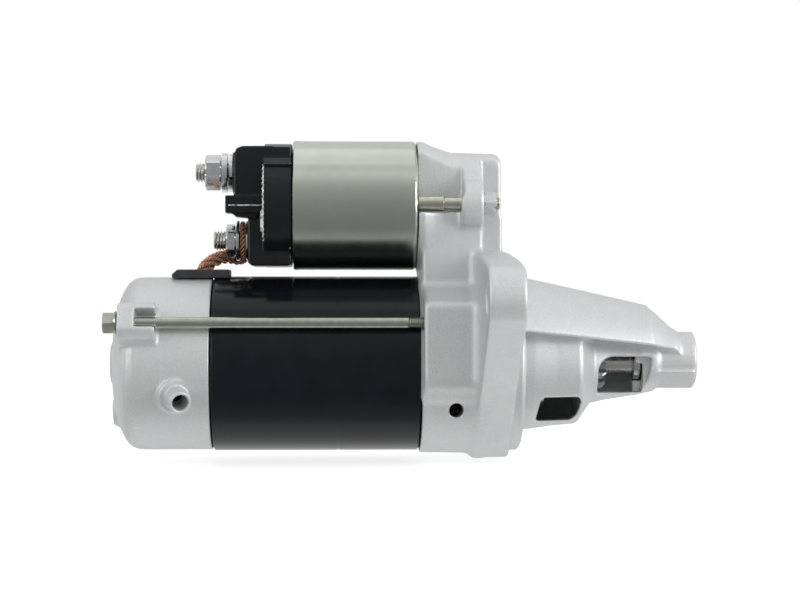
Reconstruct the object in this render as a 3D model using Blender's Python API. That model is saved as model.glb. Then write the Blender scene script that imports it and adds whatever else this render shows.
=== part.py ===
"""Starter motor: a coaxial planetary-reduction starter with its solenoid on top.

Frame: X is the motor axis with the pinion at +X, and +Z points up to the solenoid.
The origin lies on the motor axis in the flange's engine-side face. Drawing units are
millimetres; new_object() turns them into the scene's metres. An (x, r) profile is
turned about a line parallel to X, and an angle in the YZ plane runs from +Y to +Z.
"""

import math

import bmesh
import bpy
from mathutils import Matrix, Vector

MM = 0.001          # metres in one drawing unit
GAP = 0.3           # clearance kept between pieces that touch
SMOOTH_ANGLE = math.radians(32)

# Sides of round pieces, by size.
FINE = 36
MEDIUM = 20
COARSE = 12

# Along the motor axis.
COVER_REAR = -160.5
COVER_BOSS_REAR = -156.2
YOKE_REAR = -120.5
YOKE_FRONT = -36.3
FLANGE_REAR = -14.4
FLANGE_FRONT = 0.0
PILOT_FRONT = 4.5
CLUTCH_ROOM_FRONT = 28.9
NOSE_BEARING_REAR = 51.9
NOSE_TIP = 77.3

# Radii about the motor axis.
YOKE_OUTER = 35.6
YOKE_INNER = 31.6
COVER_OUTER = 35.2
COVER_INNER = 31.9
SKIRT_OUTER = 36.6
PILOT_OUTER = 35.8
MAGNET_INNER = 25.6
CORE_OUTER = 24.9
COMMUTATOR_OUTER = 14.5
ARMATURE_SHAFT = 5.0
NOSE_SHAFT = 4.8

# Solenoid, on an axis parallel to the motor's.
SOLENOID_Z = 64.6
CASE_REAR = -87.9
CASE_FRONT = -37.7
CASE_OUTER = 26.4
CASE_INNER = 24.2
PLUNGER_TRAVEL = 8.0
PLUNGER_RADIUS = 11.2
STUD_HEAD_FRONT = -99.8
BATTERY_Z = 78.0
MOTOR_TERMINAL_Z = 50.2
STUD_THREAD = 4.0

# Fasteners.
MOUNT_STUD_Y = 21.0
BOLT_CIRCLE = 38.5
BOLT_ANGLE = math.radians(154)
BOLT_RADIUS = 2.4
BOLT_HOLE = 2.7

# Flange ears: the second one is the first turned half a turn about the axis.
EAR_CENTRE = (-73.0, 26.4)
EAR_RADIUS = 12.5
EAR_HOLE = 6.5

# Shift lever.
LEVER_PIVOT = (-20.3, 0.0, 38.0)
LEVER_TILT = math.radians(8)
LEVER_THICKNESS = 4.8
LEVER_PIN_RADIUS = 2.8
FORK_INNER = 16.3
FORK_OUTER = 20.0
CLUTCH_TRAVEL = 11.4

# Planetary gear train, module 1.
MODULE = 1.0
SUN_TEETH = 12
PLANET_TEETH = 18
RING_TEETH = 48
PLANET_COUNT = 3
PLANET_ORBIT = MODULE * (SUN_TEETH + PLANET_TEETH) / 2
TOOTH_THINNING = 0.16
PRESSURE_ANGLE = math.radians(20)

# Drive pinion.
PINION_TEETH = 9
PINION_MODULE = 2.1
PINION_REAR = 25.0
PINION_FRONT = 40.0

BRUSH_COUNT = 4
MAGNET_COUNT = 4
CORE_SLOTS = 12


# ---------------------------------------------------------------- scene helpers

def clear_scene():
    """Remove every object that is already in the scene."""
    for obj in list(bpy.data.objects):
        bpy.data.objects.remove(obj, do_unlink=True)


def material(name, colour, roughness, metallic=0.0):
    """Make a Principled material from an (r, g, b) colour."""
    made = bpy.data.materials.new(name)
    made.use_nodes = True
    shader = made.node_tree.nodes["Principled BSDF"]
    shader.inputs["Base Color"].default_value = (*colour, 1.0)
    shader.inputs["Roughness"].default_value = roughness
    shader.inputs["Metallic"].default_value = metallic
    made.diffuse_color = (*colour, 1.0)
    return made


def empty(name, position=(0.0, 0.0, 0.0), parent=None):
    """Make an empty that stands for a moving body's joint, at a place in drawing units."""
    made = bpy.data.objects.new(name, None)
    made.empty_display_size = 0.01
    bpy.context.collection.objects.link(made)
    made["place"] = position
    attach(made, parent)
    return made


def attach(obj, parent):
    """Set an object's location from its place, in its parent's coordinates."""
    place = Vector(obj["place"])
    if parent is not None:
        obj.parent = parent
        place = place - Vector(parent["place"])
    obj.location = place * MM


def new_object(name, bm, finish=None, parent=None):
    """Turn a bmesh drawn in millimetres into an object in metres.

    The object's origin is its parent's joint, or the part's origin without one.
    """
    origin = Vector(parent["place"]) if parent is not None else Vector()
    bmesh.ops.recalc_face_normals(bm, faces=bm.faces)
    bmesh.ops.translate(bm, verts=bm.verts, vec=-origin)
    bmesh.ops.scale(bm, verts=bm.verts, vec=(MM, MM, MM))
    mesh = bpy.data.meshes.new(name)
    bm.to_mesh(mesh)
    bm.free()
    mesh.shade_smooth()
    mesh.set_sharp_from_angle(angle=SMOOTH_ANGLE)
    made = bpy.data.objects.new(name, mesh)
    bpy.context.collection.objects.link(made)
    made["place"] = tuple(origin)
    attach(made, parent)
    if finish is not None:
        mesh.materials.append(finish)
    return made


def as_tool(obj):
    """Hide an object that only shapes another one."""
    obj.hide_render = True
    obj.display_type = "WIRE"
    return obj


def combine(target, operation, tools):
    """Give target one Boolean modifier for each tool."""
    for tool in tools:
        as_tool(tool)
        modifier = target.modifiers.new(tool.name, "BOOLEAN")
        modifier.operation = operation
        modifier.solver = "EXACT"
        modifier.object = tool


def add(target, *tools):
    """Join tools to target."""
    combine(target, "UNION", tools)


def cut(target, *tools):
    """Cut tools out of target."""
    combine(target, "DIFFERENCE", tools)


# ---------------------------------------------------------------- shape helpers

def turned(name, profile, finish=None, parent=None, centre=(0.0, 0.0), sides=MEDIUM):
    """Turn an (x, r) profile about the line y, z = centre.

    A profile that starts and ends on the axis is open there; any other is a closed loop.
    """
    bm = bmesh.new()
    verts = [bm.verts.new((x, 0.0, r)) for x, r in profile]
    edges = [bm.edges.new(pair) for pair in zip(verts, verts[1:])]
    solid = profile[0][1] == 0.0 and profile[-1][1] == 0.0
    if not solid:
        edges.append(bm.edges.new((verts[-1], verts[0])))
    bmesh.ops.spin(bm, geom=verts + edges, axis=(1, 0, 0), cent=(0, 0, 0),
                   angle=math.tau, steps=sides, use_merge=True)
    bmesh.ops.remove_doubles(bm, verts=bm.verts, dist=1e-4)
    bmesh.ops.translate(bm, verts=bm.verts, vec=(0.0, *centre))
    return new_object(name, bm, finish, parent)


def rod(name, start, end, radius, finish=None, parent=None, centre=(0.0, 0.0), sides=COARSE):
    """A plain cylinder along X."""
    profile = [(start, 0.0), (start, radius), (end, radius), (end, 0.0)]
    return turned(name, profile, finish, parent, centre, sides)


def ring(name, start, end, inner, outer, finish=None, parent=None, centre=(0.0, 0.0),
         sides=MEDIUM):
    """A plain tube along X."""
    profile = [(start, inner), (start, outer), (end, outer), (end, inner)]
    return turned(name, profile, finish, parent, centre, sides)


def fill_loops(loops):
    """Make a bmesh with one flat region inside the first loop and outside the others."""
    bm = bmesh.new()
    for loop in loops:
        verts = [bm.verts.new(point) for point in loop]
        for pair in zip(verts, verts[1:] + verts[:1]):
            bm.edges.new(pair)
    if len(loops) == 1:
        bm.faces.new(bm.verts)
    else:
        bmesh.ops.triangle_fill(bm, edges=bm.edges, use_beauty=True)
    return bm


def prism(name, loops, direction, finish=None, parent=None):
    """Sweep the flat region between 3D loops along a direction."""
    bm = fill_loops(loops)
    swept = bmesh.ops.extrude_face_region(bm, geom=bm.faces)
    moved = [item for item in swept["geom"] if isinstance(item, bmesh.types.BMVert)]
    bmesh.ops.translate(bm, verts=moved, vec=direction)
    return new_object(name, bm, finish, parent)


def along_x(name, loops, start, end, finish=None, parent=None):
    """Sweep (y, z) loops from x = start to x = end."""
    flat = [[(start, y, z) for y, z in loop] for loop in loops]
    return prism(name, flat, (end - start, 0.0, 0.0), finish, parent)


def along_y(name, loops, start, end, finish=None, parent=None):
    """Sweep (x, z) loops from y = start to y = end."""
    flat = [[(x, start, z) for x, z in loop] for loop in loops]
    return prism(name, flat, (0.0, end - start, 0.0), finish, parent)


def box_mesh(low, high):
    """A box between two corners, as a bmesh."""
    bm = bmesh.new()
    bmesh.ops.create_cube(bm, size=1.0)
    bmesh.ops.scale(bm, verts=bm.verts, vec=Vector(high) - Vector(low))
    bmesh.ops.translate(bm, verts=bm.verts, vec=(Vector(low) + Vector(high)) / 2)
    return bm


def block(name, low, high, finish=None, parent=None):
    """A box between two corners."""
    return new_object(name, box_mesh(low, high), finish, parent)


def soft_block(name, low, high, radius):
    """A box whose edges are all chamfered."""
    bm = box_mesh(low, high)
    bmesh.ops.bevel(bm, geom=bm.edges, offset=radius, segments=1, profile=0.5, affect="EDGES")
    return new_object(name, bm)


def lofted(name, sections, finish=None):
    """Skin a row of closed sections that all have the same number of points."""
    bm = bmesh.new()
    rows = [[bm.verts.new(point) for point in section] for section in sections]
    for near, far in zip(rows, rows[1:]):
        for i in range(len(near)):
            j = (i + 1) % len(near)
            bm.faces.new((near[i], near[j], far[j], far[i]))
    bm.faces.new(rows[0])
    bm.faces.new(rows[-1])
    return new_object(name, bm, finish)


def pointed_rod(name, start, direction, length, radius, finish=None, parent=None, sides=COARSE):
    """A plain cylinder from a point in any direction."""
    bm = bmesh.new()
    aim = Vector(direction).normalized()
    turn = aim.to_track_quat("Z", "Y").to_matrix().to_4x4()
    middle = Vector(start) + aim * length / 2
    bmesh.ops.create_cone(bm, cap_ends=True, segments=sides, radius1=radius, radius2=radius,
                          depth=length, matrix=Matrix.Translation(middle) @ turn)
    return new_object(name, bm, finish, parent)


def tube_along(name, points, radius, finish=None, sides=8, smooth_steps=0):
    """A round bar through 3D points, on a smooth curve if it has steps between them."""
    path = smooth_path(points, smooth_steps) if smooth_steps else [Vector(p) for p in points]
    bm = bmesh.new()
    rows = []
    normal = (path[1] - path[0]).orthogonal().normalized()
    for i, point in enumerate(path):
        tangent = (path[min(i + 1, len(path) - 1)] - path[max(i - 1, 0)]).normalized()
        normal = (normal - tangent * normal.dot(tangent)).normalized()
        side = tangent.cross(normal)
        angles = [math.tau * k / sides for k in range(sides)]
        spokes = [normal * math.cos(a) + side * math.sin(a) for a in angles]
        rows.append([bm.verts.new(point + spoke * radius) for spoke in spokes])
    for near, far in zip(rows, rows[1:]):
        for i in range(sides):
            j = (i + 1) % sides
            bm.faces.new((near[i], near[j], far[j], far[i]))
    bm.faces.new(rows[0])
    bm.faces.new(rows[-1])
    return new_object(name, bm, finish)


def smooth_path(points, steps):
    """Points on a Catmull-Rom curve through the given ones."""
    knots = [Vector(p) for p in points]
    knots = [knots[0] * 2 - knots[1]] + knots + [knots[-1] * 2 - knots[-2]]
    path = []
    for a, b, c, d in zip(knots, knots[1:], knots[2:], knots[3:]):
        for step in range(steps):
            t = step / steps
            path.append((b * 2 + (c - a) * t + (a * 2 - b * 5 + c * 4 - d) * t ** 2
                         + (b * 3 - a - c * 3 + d) * t ** 3) / 2)
    return path + [knots[-2]]


def polar(radius, angle, centre=(0.0, 0.0)):
    """The (y, z) point at a radius and an angle."""
    return (centre[0] + radius * math.cos(angle), centre[1] + radius * math.sin(angle))


def arc(radius, start, end, steps, centre=(0.0, 0.0)):
    """Points along an arc, from start to end in radians."""
    return [polar(radius, start + (end - start) * i / steps, centre) for i in range(steps + 1)]


def circle(radius, sides, centre=(0.0, 0.0)):
    """A closed loop of points round a circle."""
    return [polar(radius, math.tau * i / sides, centre) for i in range(sides)]


def hexagon(across_flats, centre):
    """A hexagon with two corners level with its centre."""
    return circle(across_flats / math.sqrt(3), 6, centre)


def rectangle(inner, outer, half_width):
    """A loop that reaches from inner to outer along +Y, to half_width on each side."""
    return [(inner, -half_width), (outer, -half_width), (outer, half_width), (inner, half_width)]


def turned_loop(points, angle):
    """(y, z) points turned about the motor axis by an angle."""
    turn = Matrix.Rotation(angle, 2)
    return [tuple(turn @ Vector(point)) for point in points]


def half_turn(points):
    """(y, z) points turned half a turn about the axis."""
    return [(-y, -z) for y, z in points]


def involute(base, radius):
    """How far an involute of the base circle has turned at a radius."""
    lean = math.acos(min(1.0, base / radius))
    return math.tan(lean) - lean


def gear_outline(teeth, module, tip, root, thinning, phase=0.0, flank_steps=2):
    """Involute tooth outline, with the middle of one tooth at the phase angle."""
    pitch = teeth * module / 2
    base = pitch * math.cos(PRESSURE_ANGLE)
    half_tooth = (math.pi * module / 2 - thinning) / 2 / pitch + involute(base, pitch)
    radii = [root + (tip - root) * i / flank_steps for i in range(flank_steps + 1)]
    flank = [(r, half_tooth - involute(base, max(r, base))) for r in radii]
    points = []
    for tooth in range(teeth):
        middle = phase + math.tau * tooth / teeth
        points += [polar(r, middle - half) for r, half in flank]
        points += [polar(r, middle + half) for r, half in reversed(flank)]
    return points


# ---------------------------------------------------------------- drive end

def ear_outline(centre, start, end):
    """The round end of a flange ear."""
    return arc(EAR_RADIUS, start, end, 6, centre)


def flange_outline():
    """Flange seen along X: two ears, with straight edges drawn in to the middle."""
    near = [(-21.0, 44.5), (-60.0, 41.0)]
    near += ear_outline(EAR_CENTRE, math.radians(95), math.radians(222))
    near += [(-64.5, 4.2), (-42.6, -11.3), (-19.0, -27.8)]
    far = [(20.0, -39.2), (60.0, -40.6)]
    far += half_turn(ear_outline(EAR_CENTRE, math.radians(95), math.radians(222)))
    far += [(64.5, -4.2), (42.6, 11.3), (24.0, 24.0), (21.0, 44.5)]
    return near + [(-6.0, -37.6), (0.0, -38.7)] + far


def hood_section(x, radius, ridge):
    """Upper part of the nose at x: an arc down to a flat underside at the ridge height."""
    start = math.asin(ridge / radius)
    return [(x, y, z) for y, z in arc(radius, start, math.pi - start, 12)]


def hood_sections(inset=0.0, lift=0.0):
    """Sections of the nose's roof, from the flange to the hub."""
    stations = [(-2.0, 36.8, 13.9), (9.5, 34.6, 12.7), (27.6, 30.6, 10.8), (57.2, 23.9, 7.5),
                (62.1, 19.8, 6.5), (68.7, 13.6, 5.5)]
    return [hood_section(x, radius - inset, ridge + lift) for x, radius, ridge in stations]


def bolt_pad_outline():
    """Pad on the skirt that a through bolt screws into, seen along X."""
    return [(-15.2, 33.3), (-40.5, 24.7), (-40.5, -7.7), (-33.7, -14.3), (-20.0, -8.0),
            (-12.0, 22.0)]


def solenoid_seat_profile():
    """Outside of the seat that carries the solenoid."""
    return [(-37.4, 0.0), (-37.4, 26.3), (-35.0, 26.3), (-23.5, 21.9), (-5.0, 21.4),
            (-3.3, 19.6), (-3.3, 0.0)]


def nose_profile():
    """Lower part of the nose, about the motor axis."""
    return [(2.0, 0.0), (2.0, 27.3), (9.0, 27.2), (17.7, 25.9), (28.4, 25.0), (31.0, 21.0),
            (34.2, 16.6), (40.7, 15.2), (53.9, 13.2), (60.0, 11.4), (60.0, 0.0)]


def hub_profile():
    """The nose's end, which holds the front bearing."""
    return [(54.0, 0.0), (54.0, 11.5), (74.0, 11.5), (76.0, 10.0), (NOSE_TIP, 7.6),
            (NOSE_TIP, 0.0)]


def housing_cavity_profile():
    """Inside of the housing: bracket seat, clutch room, pinion room and bearing bore."""
    return [(YOKE_FRONT - 1.0, 0.0), (YOKE_FRONT - 1.0, 31.3), (-30.7, 31.3), (-30.7, 24.4),
            (6.0, 24.4), (CLUTCH_ROOM_FRONT, 22.2), (CLUTCH_ROOM_FRONT, 11.9),
            (NOSE_BEARING_REAR, 11.9), (NOSE_BEARING_REAR, 7.3), (74.4, 7.3), (74.4, 0.0)]


def mesh_window_outline():
    """Window beside the pinion, where the flywheel's ring gear comes in, as (x, z)."""
    corner = arc(6.5, math.radians(170), math.radians(90), 4, (42.4, -3.6))
    return corner + [(56.8, 3.0), (58.2, 1.6), (57.4, -4.0), (54.8, -10.6), (52.0, -12.0),
                     (35.9, -12.3)]


def drain_window_outline():
    """Window low in the clutch room, as (x, z)."""
    return [(15.0, -13.6), (28.2, -13.4), (29.7, -15.0), (28.9, -20.0), (26.4, -23.6),
            (12.0, -24.0), (13.6, -15.4)]


def build_drive_end(finish):
    """Aluminium housing: flange, pilot, skirt, solenoid seat and nose in one casting."""
    skirt_front = FLANGE_REAR + 3.0
    housing = turned("drive_end_housing", [
        (YOKE_FRONT, 0.0), (YOKE_FRONT, SKIRT_OUTER), (skirt_front, SKIRT_OUTER + 0.4),
        (skirt_front, 0.0)], finish, sides=FINE)
    stud_bosses = [
        rod(f"tool_stud_boss_{index}", -20.5, -9.0, 9.3, centre=centre, sides=22)
        for index, centre in enumerate(mount_stud_centres())]
    pads = [
        along_x(f"tool_pad_{index}", [outline], -34.6, FLANGE_REAR + 2.0)
        for index, outline in enumerate((bolt_pad_outline(), half_turn(bolt_pad_outline())))]
    add(housing,
        along_x("tool_flange", [flange_outline()], FLANGE_REAR, FLANGE_FRONT),
        turned("tool_pilot", [(-4.0, 0.0), (-4.0, PILOT_OUTER), (3.3, PILOT_OUTER),
                              (PILOT_FRONT, 34.6), (PILOT_FRONT, 0.0)], sides=FINE),
        turned("tool_nose", nose_profile(), sides=32),
        lofted("tool_hood", hood_sections()),
        turned("tool_hub", hub_profile(), centre=(0.0, 1.2)),
        turned("tool_seat", solenoid_seat_profile(), centre=(0.0, SOLENOID_Z), sides=32),
        block("tool_neck", (-36.0, -21.0, 18.0), (-3.8, 21.0, 60.0)),
        *stud_bosses, *pads)
    cut(housing,
        turned("cutter_cavity", housing_cavity_profile(), sides=32),
        lofted("cutter_hood", hood_sections(inset=4.0, lift=3.5)[1:4]),
        rod("cutter_plunger_room", -39.0, -13.5, 13.0, centre=(0.0, SOLENOID_Z), sides=22),
        block("cutter_lever_slot", (-34.0, -9.2, 18.0), (-9.6, 9.2, 58.0)),
        pointed_rod("cutter_lever_pin", (LEVER_PIVOT[0], -12.7, LEVER_PIVOT[2]), (0, 1, 0), 25.4,
                    LEVER_PIN_RADIUS + 0.4))
    cut(housing, *housing_hole_cutters())
    return housing


def mount_stud_centres():
    """Centres of the two studs that hold the solenoid."""
    return [(-MOUNT_STUD_Y, SOLENOID_Z), (MOUNT_STUD_Y, SOLENOID_Z)]


def bolt_centres():
    """Centres of the two through bolts."""
    return [polar(BOLT_CIRCLE, BOLT_ANGLE + math.pi * index) for index in range(2)]


def housing_hole_cutters():
    """Holes, pockets and windows of the drive end housing."""
    cutters = [
        along_y("cutter_mesh_window", [mesh_window_outline()], -40.0, -9.0),
        block("cutter_mesh_floor", (36.4, -12.0, -11.9), (NOSE_BEARING_REAR, -1.5, 0.0)),
        along_y("cutter_drain_window", [drain_window_outline()], -40.0, 0.5),
        pointed_rod("cutter_skirt_hole", (-22.9, -44.0, -17.8), (0, 1, 0), 20.0, 2.9),
    ]
    for index, centre in enumerate([EAR_CENTRE] + half_turn([EAR_CENTRE])):
        cutters.append(rod(f"cutter_ear_hole_{index}", -20.0, 6.0, EAR_HOLE, centre=centre,
                           sides=MEDIUM))
    for index, centre in enumerate(bolt_centres()):
        cutters.append(rod(f"cutter_bolt_hole_{index}", -40.0, -17.5, BOLT_HOLE, centre=centre))
    for index, centre in enumerate(mount_stud_centres()):
        outward = math.copysign(1.0, centre[0])
        pocket_y = sorted((outward * 15.5, outward * 40.0))
        step_y = sorted((outward * 10.6, outward * 40.0))
        cutters += [
            rod(f"cutter_stud_hole_{index}", -40.0, -9.0, 3.3, centre=centre, sides=14),
            block(f"cutter_nut_step_{index}", (-11.6, step_y[0], 45.6), (1.0, step_y[1], 92.0)),
            block(f"cutter_stud_pocket_{index}", (-36.2, pocket_y[0], SOLENOID_Z - 4.8),
                  (-19.3, pocket_y[1], SOLENOID_Z + 26.0)),
        ]
    return cutters


def build_bearings(bronze):
    """Plain bushes for the two shafts."""
    ring("nose_bush", 55.2, 73.0, 5.0, 7.0, bronze)
    ring("rear_bush", -158.6, -146.8, 5.1, 7.2, bronze)


# ---------------------------------------------------------------- motor body

def build_yoke(black_paint):
    """Steel tube that closes the field."""
    ring("yoke_tube", YOKE_REAR + GAP, YOKE_FRONT - GAP, YOKE_INNER, YOKE_OUTER, black_paint,
         sides=FINE)


def build_magnets(ferrite):
    """Curved field magnets on the yoke's wall."""
    span = math.radians(74)
    for index in range(MAGNET_COUNT):
        middle = math.tau * index / MAGNET_COUNT + math.radians(45)
        outline = arc(YOKE_INNER - GAP, middle - span / 2, middle + span / 2, 10)
        outline += arc(MAGNET_INNER, middle + span / 2, middle - span / 2, 10)
        along_x(f"magnet_{index + 1}", [outline], -114.0, -62.0, ferrite)


def rear_cover_profile():
    """Half section of the rear cover with its blind bearing hub."""
    rear_wall = COVER_REAR + 3.5
    return [
        (COVER_REAR - 1.6, 0.0), (COVER_REAR - 1.6, 8.2), (COVER_REAR, 9.8),
        (COVER_REAR, 14.0), (-158.6, 24.0), (-156.3, 30.3), (-153.6, 33.9), (-150.4, COVER_OUTER),
        (YOKE_REAR, COVER_OUTER), (YOKE_REAR, COVER_INNER),
        (-151.0, COVER_INNER), (-154.4, 26.0), (rear_wall, 18.0), (rear_wall, 10.6), (-146.5, 10.6),
        (-146.5, 7.5), (-158.9, 7.5), (-158.9, 0.0)]


def bolt_boss_outline(angle):
    """Boss beside the cover for a through bolt, as a (y, z) loop."""
    corners = [(29.0, -8.4), (39.5, -8.4), (43.0, -5.6), (43.0, 4.2), (39.5, 7.0), (29.0, 7.0)]
    return turned_loop(corners, angle)


def build_rear_cover(finish):
    """Aluminium cup that closes the brush end."""
    cover = turned("rear_cover", rear_cover_profile(), finish, sides=FINE)
    slot_outline = [(36.2, -4.4), (46.0, -4.4), (46.0, 3.4), (36.2, 3.4)]
    bosses = []
    cutters = []
    for index, centre in enumerate(bolt_centres()):
        angle = BOLT_ANGLE + math.pi * index
        bosses.append(along_x(f"tool_bolt_boss_{index}", [bolt_boss_outline(angle)],
                             COVER_BOSS_REAR, -141.3))
        cutters.append(rod(f"cutter_cover_bolt_{index}", -170.0, -140.0, BOLT_HOLE, centre=centre))
        cutters.append(along_x(f"cutter_bolt_slot_{index}", [turned_loop(slot_outline, angle)],
                               -149.4, -138.0))
    spout_root = Vector((-135.2, -28.6, -10.6))
    spout_aim = Vector((0.31, -0.91, -0.27))
    bosses.append(pointed_rod("tool_spout_pad", spout_root + spout_aim, spout_aim, 4.7, 7.0))
    bosses.append(pointed_rod("tool_spout", spout_root, spout_aim, 13.5, 4.5, sides=16))
    bosses.append(rod("tool_cover_pad", -161.0, -158.0, 5.5, centre=(0.0, -20.0), sides=20))
    add(cover, *bosses)
    cut(cover,
        ring("cutter_clear_inside", -152.8, -119.0, 20.0, COVER_INNER - 0.05, sides=FINE),
        pointed_rod("cutter_spout", spout_root - spout_aim * 8.0, spout_aim, 30.0, 3.2, sides=14),
        block("cutter_grommet_notch", (-132.4, -6.4, 20.0), (-119.0, 6.4, 40.0)),
        *cutters)


def build_grommet(rubber):
    """Rubber grommet in the cover's notch, with a strip that lies over the joint."""
    flange = block("lead_grommet", (-137.5, -9.5, 30.4), (-113.6, 9.5, 38.3), rubber)
    under = rod("cutter_grommet_under", -140.0, -110.0, YOKE_OUTER + 0.35, sides=FINE)
    plug = block("tool_grommet_plug", (-132.0, -6.0, 29.0), (-120.9, 6.0, 37.0))
    hole = tube_along("cutter_grommet_hole", motor_lead_route()[-4:], 3.2, sides=12,
                      smooth_steps=4)
    cut(flange, under)
    add(flange, plug)
    cut(flange, hole)


def build_through_bolts(zinc):
    """Long bolts that clamp the rear cover and the yoke to the drive end."""
    for index, centre in enumerate(bolt_centres()):
        seat = COVER_BOSS_REAR - GAP
        bolt = rod(f"through_bolt_{index + 1}", seat - 1.0, -19.5, BOLT_RADIUS, zinc, centre=centre)
        add(bolt,
            along_x(f"tool_bolt_head_{index}", [hexagon(8.0, centre)], seat - 5.2, seat - 0.5),
            rod(f"tool_bolt_flange_{index}", seat - 1.2, seat, 4.7, centre=centre, sides=20))


# ---------------------------------------------------------------- armature

def core_outline(clearance=0.0):
    """Lamination outline with its winding slots; clearance grows the steel all round."""
    slot_half = 2.4 - clearance
    mouth_half = 1.0 - clearance
    floor = 14.0 + clearance
    shoulder = 22.0 + clearance
    points = []
    for slot in range(CORE_SLOTS):
        middle = math.tau * slot / CORE_SLOTS
        walls = [(CORE_OUTER, -mouth_half), (shoulder, -slot_half), (floor, -slot_half * 0.7),
                 (floor, slot_half * 0.7), (shoulder, slot_half), (CORE_OUTER, mouth_half)]
        points += turned_loop(walls, middle)
        points.append(polar(CORE_OUTER, middle + math.pi / CORE_SLOTS))
    return points


def build_armature(body, steel, iron, copper):
    """Shaft with the sun gear, laminated core, winding and commutator."""
    shaft = turned("armature_shaft", [
        (-156.8, 0.0), (-156.8, 4.4), (-156.2, ARMATURE_SHAFT), (-50.0, ARMATURE_SHAFT),
        (-50.0, 4.6), (-41.5, 4.6), (-41.5, 3.8), (-34.6, 3.8), (-34.0, 3.2), (-34.0, 0.0)],
        steel, body, sides=COARSE)
    sun = gear_outline(SUN_TEETH, MODULE, tip=6.95, root=4.75, thinning=TOOTH_THINNING)
    add(shaft, along_x("tool_sun_gear", [sun], -52.0, -42.2, parent=body))

    bore = ARMATURE_SHAFT + GAP
    along_x("armature_core", [core_outline(), circle(bore, COARSE)], -112.0, -64.0, iron, body)
    winding = turned("armature_winding", [
        (-117.2, 12.0), (-117.2, 19.5), (-114.5, 21.7), (-61.5, 21.7), (-58.6, 19.5),
        (-58.6, 12.0)], copper, body, sides=CORE_SLOTS * 2)
    cut(winding, along_x("cutter_winding", [core_outline(GAP)], -112.0 - GAP, -64.0 + GAP,
                         parent=body))
    turned("commutator", [
        (-139.5, bore), (-139.5, COMMUTATOR_OUTER - 0.6), (-138.9, COMMUTATOR_OUTER),
        (-123.5, COMMUTATOR_OUTER), (-123.0, 17.0), (-119.2, 17.0), (-118.6, bore)],
        copper, body, sides=CORE_SLOTS * 2)


def build_brushes(plate_finish, carbon, spring_steel):
    """Brush holder plate with four box guides, and a brush and spring in each."""
    holder = ring("brush_holder", -142.0, -139.9, 16.0, 31.5, plate_finish, sides=FINE)
    guides = []
    cavities = []
    for index in range(BRUSH_COUNT):
        angle = math.tau * index / BRUSH_COUNT + math.radians(45)
        guide = turned_loop(rectangle(17.5, 30.3, 5.2), angle)
        cavity = turned_loop(rectangle(15.0, 29.1, 3.8), angle)
        brush = turned_loop(rectangle(14.85, 22.0, 3.5), angle)
        guides.append(along_x(f"tool_guide_{index}", [guide], -141.0, -125.6))
        cavities.append(along_x(f"cutter_guide_{index}", [cavity], -138.3, -126.9))
        along_x(f"brush_{index + 1}", [brush], -138.0, -127.2, carbon)
        build_brush_spring(index, angle, spring_steel)
    add(holder, *guides)
    cut(holder, *cavities)


def build_brush_spring(index, angle, spring_steel):
    """Coil spring between a brush and the end of its guide."""
    aim = Vector((0.0, math.cos(angle), math.sin(angle)))
    side = Vector((0.0, -math.sin(angle), math.cos(angle)))
    ahead = Vector((1.0, 0.0, 0.0))
    brush_middle = Vector((-132.6, 0.0, 0.0))
    turns = 3
    per_turn = 6
    coil_radius = 2.6
    points = []
    for i in range(turns * per_turn + 1):
        t = math.tau * i / per_turn
        reach = 22.8 + 5.4 * i / (turns * per_turn)
        around = (side * math.cos(t) + ahead * math.sin(t)) * coil_radius
        points.append(brush_middle + aim * reach + around)
    tube_along(f"brush_spring_{index + 1}", points, 0.4, spring_steel, sides=4)


# ---------------------------------------------------------------- gear train

def build_gear_train(carrier, steel, plate_steel, gear_steel):
    """Ring gear, planets, carrier with the output shaft, and the plates around them."""
    ring_hole = gear_outline(RING_TEETH, MODULE, tip=25.3, root=23.15, thinning=-TOOTH_THINNING,
                             phase=math.pi / RING_TEETH, flank_steps=1)
    along_x("ring_gear", [circle(31.2, 32), ring_hole], -52.9, -37.9, gear_steel)
    ring("gear_cover_plate", -56.0, -53.2, 7.6, 31.2, plate_steel, sides=FINE)

    shaft = turned("output_shaft", [
        (-41.3, 4.1), (-41.3, 19.0), (-37.6, 19.0), (-37.6, 8.8), (-22.6, 8.8), (-22.2, 8.0),
        (1.4, 8.0), (2.0, 7.2), (2.0, NOSE_SHAFT), (73.4, NOSE_SHAFT), (74.0, 4.2), (74.0, 0.0),
        (-31.5, 0.0), (-31.5, 4.1)], steel, carrier, sides=MEDIUM)
    for index in range(PLANET_COUNT):
        angle = math.radians(90) + math.tau * index / PLANET_COUNT
        centre = polar(PLANET_ORBIT, angle)
        add(shaft, rod(f"tool_planet_pin_{index}", -51.6, -40.0, 2.8, parent=carrier, centre=centre))
        build_planet(index, angle, centre, carrier, gear_steel)

    turned("centre_bracket", [
        (-36.0, 9.1), (-36.0, 31.0), (-31.0, 31.0), (-31.0, 13.0), (-23.4, 12.4), (-23.4, 9.1)],
        plate_steel, sides=FINE)


def build_planet(index, angle, centre, carrier, gear_steel):
    """One planet, turned so that a tooth gap faces the sun and another the ring."""
    pivot = empty(f"planet_{index + 1}", (0.0, *centre), carrier)
    phase = angle + math.pi / PLANET_TEETH
    teeth = gear_outline(PLANET_TEETH, MODULE, tip=9.9, root=7.8, thinning=TOOTH_THINNING,
                         phase=phase, flank_steps=1)
    outline = [(y + centre[0], z + centre[1]) for y, z in teeth]
    along_x(f"planet_gear_{index + 1}", [outline, circle(3.1, COARSE, centre)], -51.8, -41.8,
            gear_steel, pivot)


# ---------------------------------------------------------------- drive

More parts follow.
